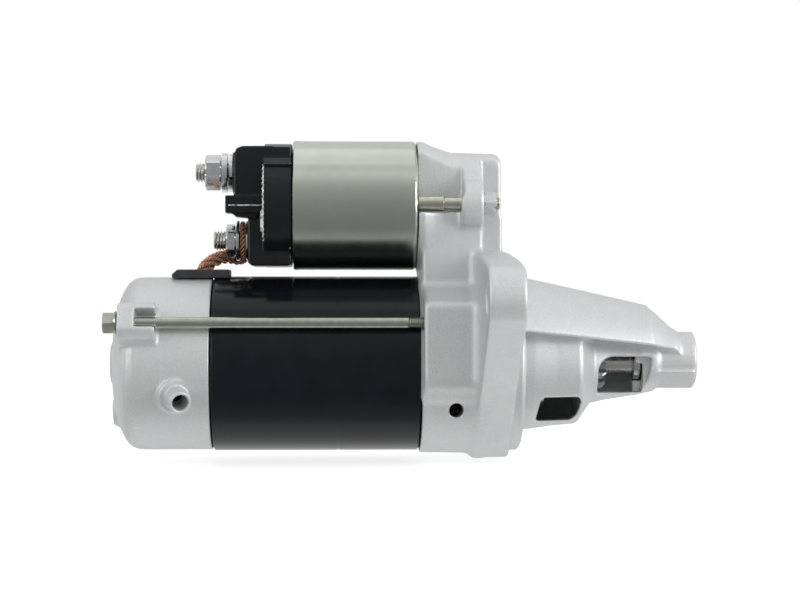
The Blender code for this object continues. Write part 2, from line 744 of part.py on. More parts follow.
def build_drive(carrier, clutch, pinion, steel, gear_steel):
    """Overrunning clutch, pinion and the ring that stops them."""
    turned("clutch_drive", [
        (-22.0, 8.3), (-22.0, 15.0), (-19.0, 15.0), (-19.0, 11.0), (-11.0, 11.0), (-11.0, 15.0),
        (-8.0, 15.0), (-8.0, 19.5), (14.2, 19.5), (14.2, 11.6), (2.0, 11.6), (2.0, 8.3)],
        steel, clutch, sides=24)
    gear = turned("pinion", [
        (2.3, 5.1), (2.3, 11.3), (14.5, 11.3), (14.5, 9.2), (PINION_REAR + 2.0, 9.2),
        (PINION_REAR + 2.0, 5.1)], gear_steel, pinion)
    teeth = gear_outline(PINION_TEETH, PINION_MODULE, tip=11.3, root=7.2, thinning=0.25,
                         phase=math.radians(10))
    add(gear, along_x("tool_pinion_teeth", [teeth], PINION_REAR, PINION_FRONT, parent=pinion))
    cut(gear, rod("cutter_pinion_bore", 0.0, 45.0, 5.1, parent=pinion, sides=MEDIUM))
    stop_rear = PINION_FRONT + CLUTCH_TRAVEL + GAP
    ring("pinion_stop", stop_rear, stop_rear + 2.8, 5.0, 6.9, steel, carrier)


def build_shift_lever(body, finish, pin_steel):
    """Fork that carries the plunger's pull to the clutch, and its pin."""
    px, _, pz = LEVER_PIVOT
    fork_end = -4.0
    right = [(FORK_OUTER, fork_end)] + arc(FORK_OUTER, 0.0, math.radians(70), 6)
    right += [(6.0, 26.0), (5.5, 33.0), (3.0, 44.0), (2.9, 67.2)]
    left = [(-y, z) for y, z in reversed(right)]
    inside = arc(FORK_INNER, math.radians(180), 0.0, 14)
    outline = right + left + [(-FORK_INNER, fork_end)] + inside[1:-1] + [(FORK_INNER, fork_end)]
    lever = along_x("shift_lever", [outline], px - LEVER_THICKNESS / 2, px + LEVER_THICKNESS / 2,
                    finish, body)
    across = (0.0, 1.0, 0.0)
    boss = pointed_rod("tool_lever_boss", (px, -6.0, pz), across, 12.0, 5.6, parent=body)
    pads = [pointed_rod(f"tool_fork_pad_{index}", (px, y, 0.4), across, 5.4, 3.0, parent=body)
            for index, y in enumerate((-17.0, 11.6))]
    add(lever, boss, *pads)
    cut(lever, pointed_rod("cutter_lever_bore", (px, -8.0, pz), across, 16.0,
                           LEVER_PIN_RADIUS + 0.2, parent=body))
    body.rotation_euler = (0.0, -LEVER_TILT, 0.0)
    pin_length = 24.6
    pointed_rod("lever_pin", (px, -pin_length / 2, pz), across, pin_length, LEVER_PIN_RADIUS,
                pin_steel)


# ---------------------------------------------------------------- solenoid

def build_solenoid(plunger, zinc, copper, iron, spring_steel):
    """Case, coil, fixed core, plunger, contact and return spring."""
    axis = (0.0, SOLENOID_Z)
    turned("solenoid_case", [
        (CASE_REAR, CASE_INNER), (CASE_REAR, CASE_OUTER),
        (CASE_FRONT - 1.6, CASE_OUTER), (CASE_FRONT, CASE_OUTER - 1.6), (CASE_FRONT, 11.8),
        (CASE_FRONT - 3.3, 11.8), (CASE_FRONT - 3.3, CASE_INNER)], zinc, centre=axis, sides=FINE)
    ring("solenoid_coil", -81.5, -41.4, 12.6, 23.6, copper, centre=axis)
    turned("solenoid_core", [
        (-87.6, 2.9), (-87.6, 23.9), (-82.0, 23.9), (-82.0, 11.6), (-66.2, 11.6), (-66.2, 2.9)],
        iron, centre=axis)
    disc_rear = STUD_HEAD_FRONT + GAP + PLUNGER_TRAVEL
    ring("contact_disc", disc_rear, disc_rear + 2.2, 2.7, 14.0, copper, plunger, axis)
    rod("contact_rod", disc_rear - 0.8, -57.4, 2.4, iron, plunger, axis)
    core = turned("plunger", [
        (-57.0, 6.6), (-57.0, PLUNGER_RADIUS), (-34.0, PLUNGER_RADIUS), (-34.0, 8.0),
        (-17.6, 8.0), (-17.0, 7.4), (-17.0, 0.0), (-44.6, 0.0), (-44.6, 6.6)],
        iron, plunger, axis)
    cut(core,
        block("cutter_plunger_slot", (-27.6, -3.3, SOLENOID_Z - 12.0),
              (-19.6, 3.3, SOLENOID_Z + 12.0), parent=plunger),
        block("cutter_plunger_mouth", (-27.5, -3.3, SOLENOID_Z - 12.0),
              (-15.0, 3.3, SOLENOID_Z - 4.1), parent=plunger))
    turns = 6
    per_turn = 8
    spring_length = 20.0
    coil = []
    for i in range(turns * per_turn + 1):
        y, z = polar(4.9, math.tau * i / per_turn, axis)
        coil.append((-65.4 + spring_length * i / (turns * per_turn), y, z))
    tube_along("plunger_spring", coil, 0.5, spring_steel, sides=4)


def build_cap(plastic, brass):
    """Moulded cap with the connector shroud, and the blade in it."""
    cap = rod("solenoid_cap", -99.5, CASE_REAR - GAP, 25.3, plastic, centre=(0.0, SOLENOID_Z),
              sides=FINE)
    add(cap,
        soft_block("tool_cap_upper", (-111.5, -17.2, 66.8), (-96.0, 17.2, 87.9), 3.2),
        block("tool_cap_key", (-104.2, -17.2, 66.0), (CASE_REAR - GAP - 0.2, 17.2, 87.7)),
        soft_block("tool_cap_lower", (-105.7, -16.5, 39.6), (-94.0, 16.5, 70.0), 4.0),
        block("tool_cap_shroud", (-114.9, -18.5, 60.8), (-98.0, -6.0, 67.9)))
    cut(cap,
        rod("cutter_cap_collar", -98.0, CASE_REAR + 1.0, 21.0, centre=(0.0, SOLENOID_Z), sides=30),
        block("cutter_cap_chamber", (-103.5, -14.4, 43.9), (-97.0, 14.4, 84.3)),
        block("cutter_shroud", (-118.0, -16.9, 62.1), (-106.5, -7.6, 67.0)),
        rod("cutter_battery_hole", -115.0, -100.0, STUD_THREAD + GAP, centre=(0.0, BATTERY_Z)),
        rod("cutter_motor_hole", -110.0, -100.0, STUD_THREAD + GAP,
            centre=(0.0, MOTOR_TERMINAL_Z)))
    block("spade_terminal", (-113.4, -15.4, 63.7), (-106.8, -9.1, 64.5), brass)


def build_terminals(copper, zinc):
    """Studs, nuts and washers of the battery and motor terminals."""
    for name, z, tip in (("battery", BATTERY_Z, -127.6), ("motor", MOTOR_TERMINAL_Z, -120.3)):
        centre = (0.0, z)
        head_rear = STUD_HEAD_FRONT - 3.4
        turned(f"{name}_stud", [
            (tip, 0.0), (tip, 3.2), (tip + 0.9, STUD_THREAD), (head_rear, STUD_THREAD),
            (head_rear, 5.8), (STUD_HEAD_FRONT, 5.8), (STUD_HEAD_FRONT, 0.0)],
            copper, centre=centre, sides=16)
    bore = STUD_THREAD + GAP
    battery = (0.0, BATTERY_Z)
    motor = (0.0, MOTOR_TERMINAL_Z)
    nut("battery_nut", battery, 13.0, -123.7, -117.2, bore, zinc)
    ring("battery_washer", -116.9, -114.6, bore, 8.05, zinc, centre=battery, sides=16)
    ring("battery_spring_washer", -114.3, -111.8, bore, 7.6, zinc, centre=battery, sides=16)
    nut("motor_nut", motor, 12.0, -115.2, -111.3, bore, zinc)
    ring("motor_washer", -111.0, -109.8, bore, 8.2, zinc, centre=motor, sides=16)
    ring("motor_lug_washer", -107.1, -106.0, bore, 8.0, zinc, centre=motor, sides=16)


def nut(name, centre, across_flats, start, end, bore, finish):
    """A hexagon nut with a plain bore."""
    return along_x(name, [hexagon(across_flats, centre), circle(bore, COARSE, centre)], start, end,
                   finish)


def motor_lead_route():
    """Centre line of the braid, from the terminal's lug into the rear cover."""
    return [(-108.5, 10.0, 44.4), (-109.8, 11.9, 43.5), (-112.0, 12.0, 43.4), (-115.4, 10.2, 43.9),
            (-119.4, 6.4, 42.9), (-123.0, 2.6, 40.4), (-125.4, 0.6, 36.6), (-126.2, 0.0, 32.4),
            (-126.2, 0.0, 28.6)]


def build_motor_lead(copper):
    """Copper braid with its lug on the motor stud."""
    centre = (0.0, MOTOR_TERMINAL_Z)
    lug = ring("motor_lead", -109.5, -107.4, STUD_THREAD + GAP, 8.0, copper, centre=centre,
               sides=16)
    aim = Vector(motor_lead_route()[0])
    lean = math.atan2(aim.z - MOTOR_TERMINAL_Z, aim.y)
    tongue = turned_loop([(5.0, -3.4), (12.4, -2.6), (12.4, 2.6), (5.0, 3.4)], lean)
    outline = [(y, z + MOTOR_TERMINAL_Z) for y, z in tongue]
    add(lug,
        along_x("tool_lug_tongue", [outline], -109.3, -107.6),
        tube_along("tool_braid", motor_lead_route(), 2.8, sides=8, smooth_steps=2))
    cut(lug, rod("cutter_lug_bore", -112.0, -104.0, STUD_THREAD + GAP, centre=centre))


def build_mount_studs(zinc):
    """Studs and nuts that hold the solenoid on its seat."""
    for index, centre in enumerate(mount_stud_centres()):
        rod(f"solenoid_stud_{index + 1}", CASE_FRONT + GAP, -5.0, 3.0, zinc, centre=centre)
        nut(f"solenoid_nut_{index + 1}", centre, 10.0, -11.3, -6.3, 3.3, zinc)


def build():
    """Build the whole starter motor."""
    clear_scene()
    cast = material("cast_aluminium", (0.74, 0.76, 0.77), 0.42, 1.0)
    black_paint = material("black_paint", (0.02, 0.022, 0.026), 0.22)
    zinc = material("zinc_plate", (0.66, 0.67, 0.55), 0.3, 1.0)
    steel = material("ground_steel", (0.62, 0.62, 0.6), 0.3, 1.0)
    gear_steel = material("gear_steel", (0.42, 0.42, 0.42), 0.4, 1.0)
    iron = material("soft_iron", (0.35, 0.35, 0.36), 0.5, 1.0)
    copper = material("copper", (0.8, 0.42, 0.28), 0.35, 1.0)
    bronze = material("sintered_bronze", (0.6, 0.42, 0.22), 0.5, 1.0)
    plastic = material("black_plastic", (0.03, 0.033, 0.036), 0.45)
    rubber = material("black_rubber", (0.03, 0.03, 0.032), 0.75)
    ferrite = material("ferrite", (0.08, 0.08, 0.085), 0.6)
    carbon = material("brush_carbon", (0.07, 0.06, 0.055), 0.6)
    spring_steel = material("spring_steel", (0.5, 0.5, 0.5), 0.3, 1.0)

    armature = empty("armature")
    carrier = empty("carrier")
    clutch = empty("clutch", parent=carrier)
    pinion = empty("pinion_free_wheel", parent=clutch)
    plunger = empty("plunger_body")
    lever = empty("lever", LEVER_PIVOT)

    build_drive_end(cast)
    build_bearings(bronze)
    build_yoke(black_paint)
    build_magnets(ferrite)
    build_rear_cover(cast)
    build_grommet(rubber)
    build_through_bolts(zinc)
    build_armature(armature, steel, iron, copper)
    build_brushes(zinc, carbon, spring_steel)
    build_gear_train(carrier, steel, iron, gear_steel)
    build_drive(carrier, clutch, pinion, steel, gear_steel)
    build_shift_lever(lever, plastic, steel)
    build_solenoid(plunger, zinc, copper, iron, spring_steel)
    build_cap(plastic, copper)
    build_terminals(copper, zinc)
    build_motor_lead(copper)
    build_mount_studs(zinc)


build()
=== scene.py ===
"""Looks of the starter motor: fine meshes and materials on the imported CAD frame.

Shapes are drawn in millimetres in the CAD's frame: X along the motor axis towards the
pinion, +Z up to the solenoid. Castings and mouldings are distance fields with rounded
joins, meshed on a grid; turned, threaded and twisted pieces are made from their sections.
"""

from math import acos, copysign, cos, pi, radians, sin, sqrt, tan, tau

import bmesh
import bpy
import numpy as np
from mathutils import Matrix, Vector


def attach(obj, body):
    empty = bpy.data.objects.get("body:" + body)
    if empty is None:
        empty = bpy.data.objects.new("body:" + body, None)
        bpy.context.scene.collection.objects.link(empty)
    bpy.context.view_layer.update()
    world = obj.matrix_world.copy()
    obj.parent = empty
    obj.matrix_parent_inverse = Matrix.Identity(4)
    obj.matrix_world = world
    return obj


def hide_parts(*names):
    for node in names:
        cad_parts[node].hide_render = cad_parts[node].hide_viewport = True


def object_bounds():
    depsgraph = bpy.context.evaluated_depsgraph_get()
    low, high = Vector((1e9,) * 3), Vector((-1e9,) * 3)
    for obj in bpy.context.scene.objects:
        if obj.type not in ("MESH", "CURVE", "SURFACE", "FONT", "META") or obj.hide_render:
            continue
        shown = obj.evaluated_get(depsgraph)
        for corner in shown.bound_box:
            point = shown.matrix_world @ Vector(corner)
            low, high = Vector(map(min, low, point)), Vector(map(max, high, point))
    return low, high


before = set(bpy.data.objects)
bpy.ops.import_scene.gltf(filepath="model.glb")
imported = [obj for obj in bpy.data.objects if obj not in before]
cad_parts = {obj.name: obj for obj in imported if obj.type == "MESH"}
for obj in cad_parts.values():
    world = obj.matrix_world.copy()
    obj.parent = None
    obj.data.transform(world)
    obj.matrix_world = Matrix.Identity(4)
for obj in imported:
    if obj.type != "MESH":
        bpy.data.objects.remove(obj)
cad_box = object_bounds()

f32 = np.float32
MM = 0.001
GRID_COARSER = 1.0

# Stations along the motor axis and radii about it, as the CAD has them.
YOKE_REAR, YOKE_FRONT = -120.2, -36.6
YOKE_INNER, YOKE_OUTER = 31.6, 35.6
COVER_REAR = -160.5
BOSS_REAR = -156.2
COVER_INNER, COVER_OUTER = 31.9, 35.2
FLANGE_REAR, FLANGE_FRONT = -14.4, 0.0
NOSE_TIP = 77.3
SOLENOID_Z = 64.6
CASE_REAR, CASE_FRONT = -87.9, -37.7
CASE_INNER, CASE_OUTER = 24.2, 26.4
BATTERY_Z = 78.0
MOTOR_TERMINAL_Z = 50.2
BOLT_CIRCLE = 38.5
BOLT_ANGLE = radians(154)
BOLT_RADIUS = 2.4
BOLT_HOLE = 2.7
EAR_CENTRE = (-73.0, 26.4)
EAR_RADIUS = 12.5
EAR_HOLE = 6.5
LEVER_PIVOT = (-20.3, 0.0, 38.0)

# (y, z) of the lines along X that round pieces are turned about.
SOLENOID = (0.0, SOLENOID_Z)
BATTERY = (0.0, BATTERY_Z)
MOTOR = (0.0, MOTOR_TERMINAL_Z)
BOLTS = [(BOLT_CIRCLE * cos(angle), BOLT_CIRCLE * sin(angle))
         for angle in (BOLT_ANGLE, BOLT_ANGLE + pi)]
EARS = [EAR_CENTRE, (-EAR_CENTRE[0], -EAR_CENTRE[1])]
MOUNT_STUDS = [(-21.0, SOLENOID_Z), (21.0, SOLENOID_Z)]


# ---- distance fields

def polygon(u, v, points):
    """Signed distance in a plane from (u, v) to a closed outline, negative inside."""
    nearest = f32(1e9)
    inside = False
    for (ax, ay), (bx, by) in zip(points, points[1:] + points[:1]):
        ex, ey = f32(bx - ax), f32(by - ay)
        wu, wv = u - f32(ax), v - f32(ay)
        t = np.clip((wu * ex + wv * ey) / (ex * ex + ey * ey), 0, 1)
        nearest = np.minimum(nearest, (wu - ex * t) ** 2 + (wv - ey * t) ** 2)
        crosses = (wv < 0) != (v < f32(by))
        inside = inside ^ (crosses & ((wu * ey < wv * ex) == (ey > 0)))
    return np.sqrt(nearest) * np.where(inside, f32(-1), f32(1))


def swept(flat, along, start, end, soft=0.0):
    """Sweep a plane distance between two stations, with the end edges rounded by soft."""
    wall = np.abs(along - f32((start + end) / 2)) - f32((end - start) / 2 - soft)
    flat = flat + f32(soft)
    outside = np.sqrt(np.maximum(flat, 0) ** 2 + np.maximum(wall, 0) ** 2)
    return np.minimum(np.maximum(flat, wall), 0) + outside - f32(soft)


def swept_x(outline, start, end, soft=0.0):
    """Field of a (y, z) outline swept along X."""
    return lambda x, y, z: swept(polygon(y, z, outline), x, start, end, soft)


def swept_y(outline, start, end, soft=0.0):
    """Field of an (x, z) outline swept along Y."""
    return lambda x, y, z: swept(polygon(x, z, outline), y, start, end, soft)


def swept_z(outline, start, end, soft=0.0):
    """Field of an (x, y) outline swept along Z."""
    return lambda x, y, z: swept(polygon(x, y, outline), z, start, end, soft)


def turned(profile, centre=(0.0, 0.0)):
    """Field of an (x, r) profile turned about a line along X; r = 0 means a solid middle."""
    below_axis = -60.0
    points = [(x, r if r > 0 else below_axis) for x, r in profile]
    cy, cz = centre
    return lambda x, y, z: polygon(x, np.sqrt((y - cy) ** 2 + (z - cz) ** 2), points)


def disc(start, end, radius, centre=(0.0, 0.0), soft=0.0):
    """Field of a cylinder along X."""
    cy, cz = centre
    return lambda x, y, z: swept(np.sqrt((y - cy) ** 2 + (z - cz) ** 2) - f32(radius),
                                 x, start, end, soft)


def bar(start, direction, length, radius, soft=0.0):
    """Field of a cylinder from a point in any direction."""
    ax, ay, az = (float(c) for c in Vector(direction).normalized())
    sx, sy, sz = start

    def field(x, y, z):
        dx, dy, dz = x - sx, y - sy, z - sz
        along = dx * ax + dy * ay + dz * az
        across = np.sqrt(np.maximum(dx * dx + dy * dy + dz * dz - along * along, 0))
        return swept(across - f32(radius), along, 0.0, length, soft)
    return field


def brick(low, high, soft=0.0):
    """Field of a box with rounded edges."""
    middle = [(a + b) / 2 for a, b in zip(low, high)]
    half = [(b - a) / 2 - soft for a, b in zip(low, high)]

    def field(x, y, z):
        gaps = [np.abs(c - f32(m)) - f32(h)
                for c, m, h in zip((x, y, z), middle, half)]
        outside = np.sqrt(sum(np.maximum(g, 0) ** 2 for g in gaps))
        inside = np.minimum(np.maximum(np.maximum(gaps[0], gaps[1]), gaps[2]), 0)
        return outside + inside - f32(soft)
    return field


def join(first, second, fillet):
    """Union of two distances with a fillet of that radius between them."""
    if fillet <= 0:
        return np.minimum(first, second)
    r = f32(fillet)
    corner = np.sqrt(np.maximum(r - first, 0) ** 2 + np.maximum(r - second, 0) ** 2)
    return np.maximum(r, np.minimum(first, second)) - corner


def carve(solid, tool, rim):
    """Cut tool's distance out of solid, with the rim rounded by that radius."""
    tool = -tool
    if rim <= 0:
        return np.maximum(solid, tool)
    r = f32(rim)
    corner = np.sqrt(np.maximum(r + solid, 0) ** 2 + np.maximum(r + tool, 0) ** 2)
    return np.minimum(-r, np.maximum(solid, tool)) + corner


def compose(adds, cuts):
    """Field that joins (field, fillet) pairs in order, then carves (field, rim) pairs."""
    def field(x, y, z):
        solid = adds[0][0](x, y, z)
        for shape, fillet in adds[1:]:
            solid = join(solid, shape(x, y, z), fillet)
        for shape, rim in cuts:
            solid = carve(solid, shape(x, y, z), rim)
        return solid
    return field


def sample(field, axes, block=24):
    """Field values on a grid, worked out only in the blocks that the surface may cross."""
    counts = [len(axis) for axis in axes]
    values = np.empty(counts, f32)
    reach = (axes[0][1] - axes[0][0]) * block * sqrt(3) / 2 * 1.1
    for i in range(0, counts[0], block):
        for j in range(0, counts[1], block):
            for k in range(0, counts[2], block):
                cut = [axis[s:s + block] for axis, s in zip(axes, (i, j, k))]
                middle = [(c[0] + c[-1]) / 2 for c in cut]
                value = float(np.asarray(field(*[f32(m) for m in middle])))
                if abs(value) < reach:
                    value = field(*np.ix_(*cut))
                values[i:i + block, j:j + block, k:k + block] = value
    return values


def net(values):
    """Surface net of a grid's zero level: vertices in grid steps, and quads."""
    inside = values < 0
    corners = [(a, b, c) for a in (0, 1) for b in (0, 1) for c in (0, 1)]
    cells = [n - 1 for n in values.shape]
    count = sum(inside[a:a + cells[0], b:b + cells[1], c:c + cells[2]].astype(np.int8)
                for a, b, c in corners)
    where = np.nonzero((count > 0) & (count < 8))
    index = np.full(cells, -1, np.int64)
    index[where] = np.arange(len(where[0]))
    total = np.zeros((len(where[0]), 3))
    crossings = np.zeros(len(where[0]))
    for near in corners:
        for axis in range(3):
            if near[axis]:
                continue
            far = tuple(1 if a == axis else near[a] for a in range(3))
            v0 = values[tuple(w + c for w, c in zip(where, near))]
            v1 = values[tuple(w + c for w, c in zip(where, far))]
            cross = (v0 < 0) != (v1 < 0)
            t = np.where(cross, v0 / np.where(cross, v0 - v1, 1), 0)
            for a in range(3):
                total[:, a] += np.where(cross, near[a] + (t if a == axis else 0), 0)
            crossings += cross
    verts = np.stack(where, 1) + total / crossings[:, None]
    quads = []
    for axis in range(3):
        b, c = (axis + 1) % 3, (axis + 2) % 3
        first = [slice(1, -1)] * 3
        first[axis] = slice(0, -1)
        second = list(first)
        second[axis] = slice(1, None)
        near, far = inside[tuple(first)], inside[tuple(second)]
        spots = np.array(np.nonzero(near != far))
        spots[b] += 1
        spots[c] += 1
        loop = []
        for db, dc in ((-1, -1), (0, -1), (0, 0), (-1, 0)):
            cell = spots.copy()
            cell[b] += db
            cell[c] += dc
            loop.append(index[tuple(cell)])
        loop = np.stack(loop, 1)
        leaving = inside[tuple(spots)]
        quads.append(np.where(leaving[:, None], loop, loop[:, ::-1]))
    return verts, np.concatenate(quads)


def relax(verts, quads, rounds, weight=0.5):
    """Move each vertex towards the mean of its neighbours a few times."""
    edges = np.concatenate([quads[:, [i, (i + 1) % 4]] for i in range(4)])
    degree = np.bincount(edges.ravel(), minlength=len(verts))[:, None]
    for _ in range(rounds):
        mean = np.empty_like(verts)
        for a in range(3):
            mean[:, a] = (np.bincount(edges[:, 0], verts[edges[:, 1], a], len(verts))
                          + np.bincount(edges[:, 1], verts[edges[:, 0], a], len(verts)))
        verts = verts + (mean / degree - verts) * weight
    return verts


def placed(name, data):
    """New object with this data, in the scene."""
    made = bpy.data.objects.new(name, data)
    bpy.context.scene.collection.objects.link(made)
    return made


def mesh_object(name, verts, faces, sharp=None):
    """Object from vertices in millimetres and faces, shaded smooth."""
    mesh = bpy.data.meshes.new(name)
    if isinstance(faces, np.ndarray):
        sides = faces.shape[1]
        mesh.vertices.add(len(verts))
        mesh.vertices.foreach_set("co", (np.asarray(verts) * MM).astype(f32).ravel())
        mesh.loops.add(faces.size)
        mesh.loops.foreach_set("vertex_index", faces.astype(np.int32).ravel())
        mesh.polygons.add(len(faces))
        mesh.polygons.foreach_set("loop_start", np.arange(0, faces.size, sides, dtype=np.int32))
        mesh.update(calc_edges=True)
        mesh.validate()
    else:
        mesh.from_pydata([Vector(v) * MM for v in verts], [], faces)
    mesh.shade_smooth()
    if sharp is not None:
        mesh.set_sharp_from_angle(angle=radians(sharp))
    return placed(name, mesh)


def band(near, far, sides):
    """Quads between two rings of vertices, each given by its first vertex."""
    return [(near + k, far + k, far + (k + 1) % sides, near + (k + 1) % sides)
            for k in range(sides)]


def solid_object(name, verts, faces, sharp):
    """Object whose faces all point outwards."""
    made = mesh_object(name, verts, faces, sharp)
    bm = bmesh.new()
    bm.from_mesh(made.data)
    bmesh.ops.recalc_face_normals(bm, faces=bm.faces)
    bm.to_mesh(made.data)
    bm.free()
    return made


def moulded(name, field, low, high, step, rounds=3):
    """Piece whose surface is a field's zero level."""
    step = step * GRID_COARSER
    axes = [np.arange(a - 2 * step, b + 3 * step, step, dtype=f32)
            for a, b in zip(low, high)]
    verts, quads = net(sample(field, axes))
    verts = relax(verts, quads, rounds)
    origin = np.array([axis[0] for axis in axes], float)
    return mesh_object(name, verts * step + origin, quads, sharp=60)


# ---- outlines

def arc(radius, start, end, steps, centre=(0.0, 0.0)):
    """Points along an arc, from start to end in radians."""
    angles = [start + (end - start) * i / steps for i in range(steps + 1)]
    return [(centre[0] + radius * cos(a), centre[1] + radius * sin(a)) for a in angles]


def around(x, radius, angle, centre=(0.0, 0.0)):
    """Point at a radius and an angle about a line along X."""
    return (x, centre[0] + radius * cos(angle), centre[1] + radius * sin(angle))


def half_turn(points):
    """(y, z) points turned half a turn about the axis."""
    return [(-y, -z) for y, z in points]


def eased(points, radius, steps=5):
    """A closed outline with its corners rounded."""
    out = []
    for i, corner in enumerate(points):
        p = Vector(corner)
        before = Vector(points[i - 1]) - p
        after = Vector(points[(i + 1) % len(points)]) - p
        reach = min(radius, before.length * 0.45, after.length * 0.45)
        start = p + before.normalized() * reach
        end = p + after.normalized() * reach
        for k in range(steps + 1):
            t = k / steps
            out.append(tuple(start * (1 - t) ** 2 + p * 2 * t * (1 - t) + end * t ** 2))
    return out


# ---- drive end housing

def flange_outline():
    """Flange seen along X: two ears, with straight edges drawn in to the middle."""
    ear = arc(EAR_RADIUS, radians(95), radians(222), 14, EAR_CENTRE)
    top_left = [(-21.0, 44.5), (-60.0, 41.0)]
    bottom = [(-64.5, 4.2), (-42.6, -11.3), (-20.5, -31.0), (-8.0, -38.0), (0.0, -38.9),
              (20.0, -39.2), (60.0, -40.6)]
    top_right = [(64.5, -4.2), (42.6, 11.3), (24.0, 24.0), (21.0, 44.5)]
    return top_left + ear + bottom + half_turn(ear) + top_right


# Station, roof radius and ridge height of the nose's hood.
HOOD_SECTIONS = [(-2.0, 36.8, 13.9), (9.5, 34.6, 12.7), (27.6, 30.6, 10.8), (57.2, 23.9, 7.5),
                 (62.1, 19.8, 6.5), (68.7, 13.6, 5.5)]


def hood(inset=0.0, lift=0.0, start=-2.0, end=68.7):
    """Roof of the nose: a tapering arc above a ridge that drops towards the tip."""
    stations, radii, ridges = zip(*HOOD_SECTIONS)

    def field(x, y, z):
        radius = np.interp(x, stations, radii).astype(f32) - f32(inset)
        ridge = np.interp(x, stations, ridges).astype(f32) + f32(lift)
        roof = (np.sqrt(y * y + z * z) - radius) * f32(0.97)
        floor = ridge - z
        ends = np.maximum(f32(start) - x, x - f32(end))
        return np.maximum(carve(roof, -floor, 1.2), ends)
    return field


def bolt_pad_outline():
    """Pad on the skirt that a through bolt screws into, seen along X."""
    return [(-15.2, 33.3), (-40.5, 24.7), (-40.5, -7.7), (-33.7, -14.3), (-20.0, -8.0),
            (-12.0, 22.0)]


def housing_adds():
    """Solid shapes of the drive end casting, with the fillet where each joins."""
    pad_rear, pad_front = -36.0, FLANGE_REAR + 2.0
    pad = eased(bolt_pad_outline(), 3.0)
    far_pad = eased(half_turn(bolt_pad_outline()), 3.0)
    adds = [
        (turned([(-36.3, 0.0), (-36.3, 36.2), (-35.9, 36.6), (-11.4, 37.0), (-11.4, 0.0)]), 0),
        (turned([(2.0, 0.0), (2.0, 27.3), (9.0, 27.2), (17.7, 25.9), (27.4, 25.1), (28.6, 24.4),
                 (31.0, 21.0), (34.2, 16.6), (40.7, 15.2), (53.9, 13.2), (60.0, 11.4),
                 (60.0, 0.0)]), 1.0),
        (hood(), 2.2),
        (turned([(54.0, 0.0), (54.0, 11.5), (76.3, 11.5), (77.0, 11.1), (NOSE_TIP, 10.4),
                 (NOSE_TIP, 0.0)], (0.0, 1.2)), 3.0),
        (swept_x([(-8.0, 3.0), (-11.5, -3.6), (-6.2, -10.3), (6.2, -10.3), (11.5, -3.6),
                  (8.0, 3.0)], 50.0, 76.0, 0.4), 0.6),
        (turned([(-37.4, 0.0), (-37.4, 26.0), (-37.0, 26.3), (-35.0, 26.3), (-31.0, 24.4),
                 (-23.5, 21.9), (-5.8, 21.4), (-4.2, 20.8), (-3.3, 19.2), (-3.3, 0.0)],
                SOLENOID), 3.0),
        (brick((-36.0, -21.0, 18.0), (-3.8, 21.0, 60.0), 2.0), 2.5),
    ]
    adds += [(disc(-20.5, -9.0, 9.3, stud, 1.2), 2.0) for stud in MOUNT_STUDS]
    adds += [
        (swept_x(pad, pad_rear, pad_front, 1.6), 3.0),
        (swept_x(far_pad, pad_rear, pad_front, 1.6), 3.0),
        (swept_x(eased(flange_outline(), 2.5), FLANGE_REAR, FLANGE_FRONT, 1.3), 4.0),
        (turned([(-4.0, 0.0), (-4.0, 35.8), (3.3, 35.8), (4.5, 34.6), (4.5, 0.0)]), 0.4),
    ]
    return adds


def housing_cuts():
    """Bores, rooms, windows and holes of the casting, with the radius of each rim."""
    pivot_hole = bar((LEVER_PIVOT[0], -12.7, LEVER_PIVOT[2]), (0, 1, 0), 25.4, 3.2)
    cuts = [
        (turned([(-37.3, 0.0), (-37.3, 31.3), (-30.7, 31.3), (-30.7, 24.4), (6.0, 24.4),
                 (28.9, 22.2), (28.9, 11.9), (51.9, 11.9), (51.9, 7.3), (80.0, 7.3),
                 (80.0, 0.0)]), 0.5),
        (hood(4.0, 3.5, 9.5, 57.2), 0.5),
        (disc(-39.0, -13.5, 13.0, SOLENOID), 0.5),
        (brick((-34.0, -9.2, 18.0), (-9.6, 9.2, 58.0), 1.0), 0.5),
        (pivot_hole, 0.2),
        (mesh_window(), 0.9),
        (brick((36.4, -12.0, -11.9), (55.0, -1.5, 0.0), 0.4), 0.3),
        (drain_window(), 0.9),
        (bar((-22.9, -44.0, -17.8), (0, 1, 0), 30.0, 2.9), 0.5),
    ]
    cuts += [(disc(-20.0, 6.0, EAR_HOLE, ear), 0.7) for ear in EARS]
    cuts += [(disc(-40.0, -17.5, BOLT_HOLE, bolt), 0.4) for bolt in BOLTS]
    for stud in MOUNT_STUDS:
        cuts += stud_cuts(stud)
    return cuts


def stud_cuts(stud):
    """Hole of a solenoid stud, the step for its nut, and the open pocket behind it."""
    floor = SOLENOID_Z - 3.6
    outline = eased([(-42.0, floor), (-25.6, floor), (-19.3, floor + 7.0), (-19.3, 92.0),
                     (-42.0, 92.0)], 1.2)
    outward = copysign(1.0, stud[0])
    pocket = sorted((outward * 15.5, outward * 40.0))
    step = sorted((outward * 10.6, outward * 40.0))
    return [(disc(-40.0, -9.0, 3.3, stud), 0.3),
            (brick((-11.6, step[0], 45.6), (3.0, step[1], 95.0), 1.0), 1.2),
            (swept_y(outline, pocket[0], pocket[1], 0.8), 0.9)]


def mesh_window():
    """Window beside the pinion."""
    corner = arc(6.5, radians(170), radians(90), 8, (42.4, -3.6))
    right = eased([(56.0, 3.0), (58.2, 2.2), (57.4, -4.0), (54.8, -10.6), (51.6, -12.2)], 1.6)
    return swept_y(corner + right[3:-6] + [(35.9, -12.3)], -40.0, -9.0)


def drain_window():
    """Window low in the clutch room."""
    outline = [(12.6, -13.3), (27.2, -13.1), (28.4, -14.6), (27.6, -19.6), (25.2, -22.8),
               (10.4, -23.2), (11.6, -15.0)]
    return swept_y(eased(outline, 1.8), -40.0, 0.5)


# ---- rear cover, cap, grommet

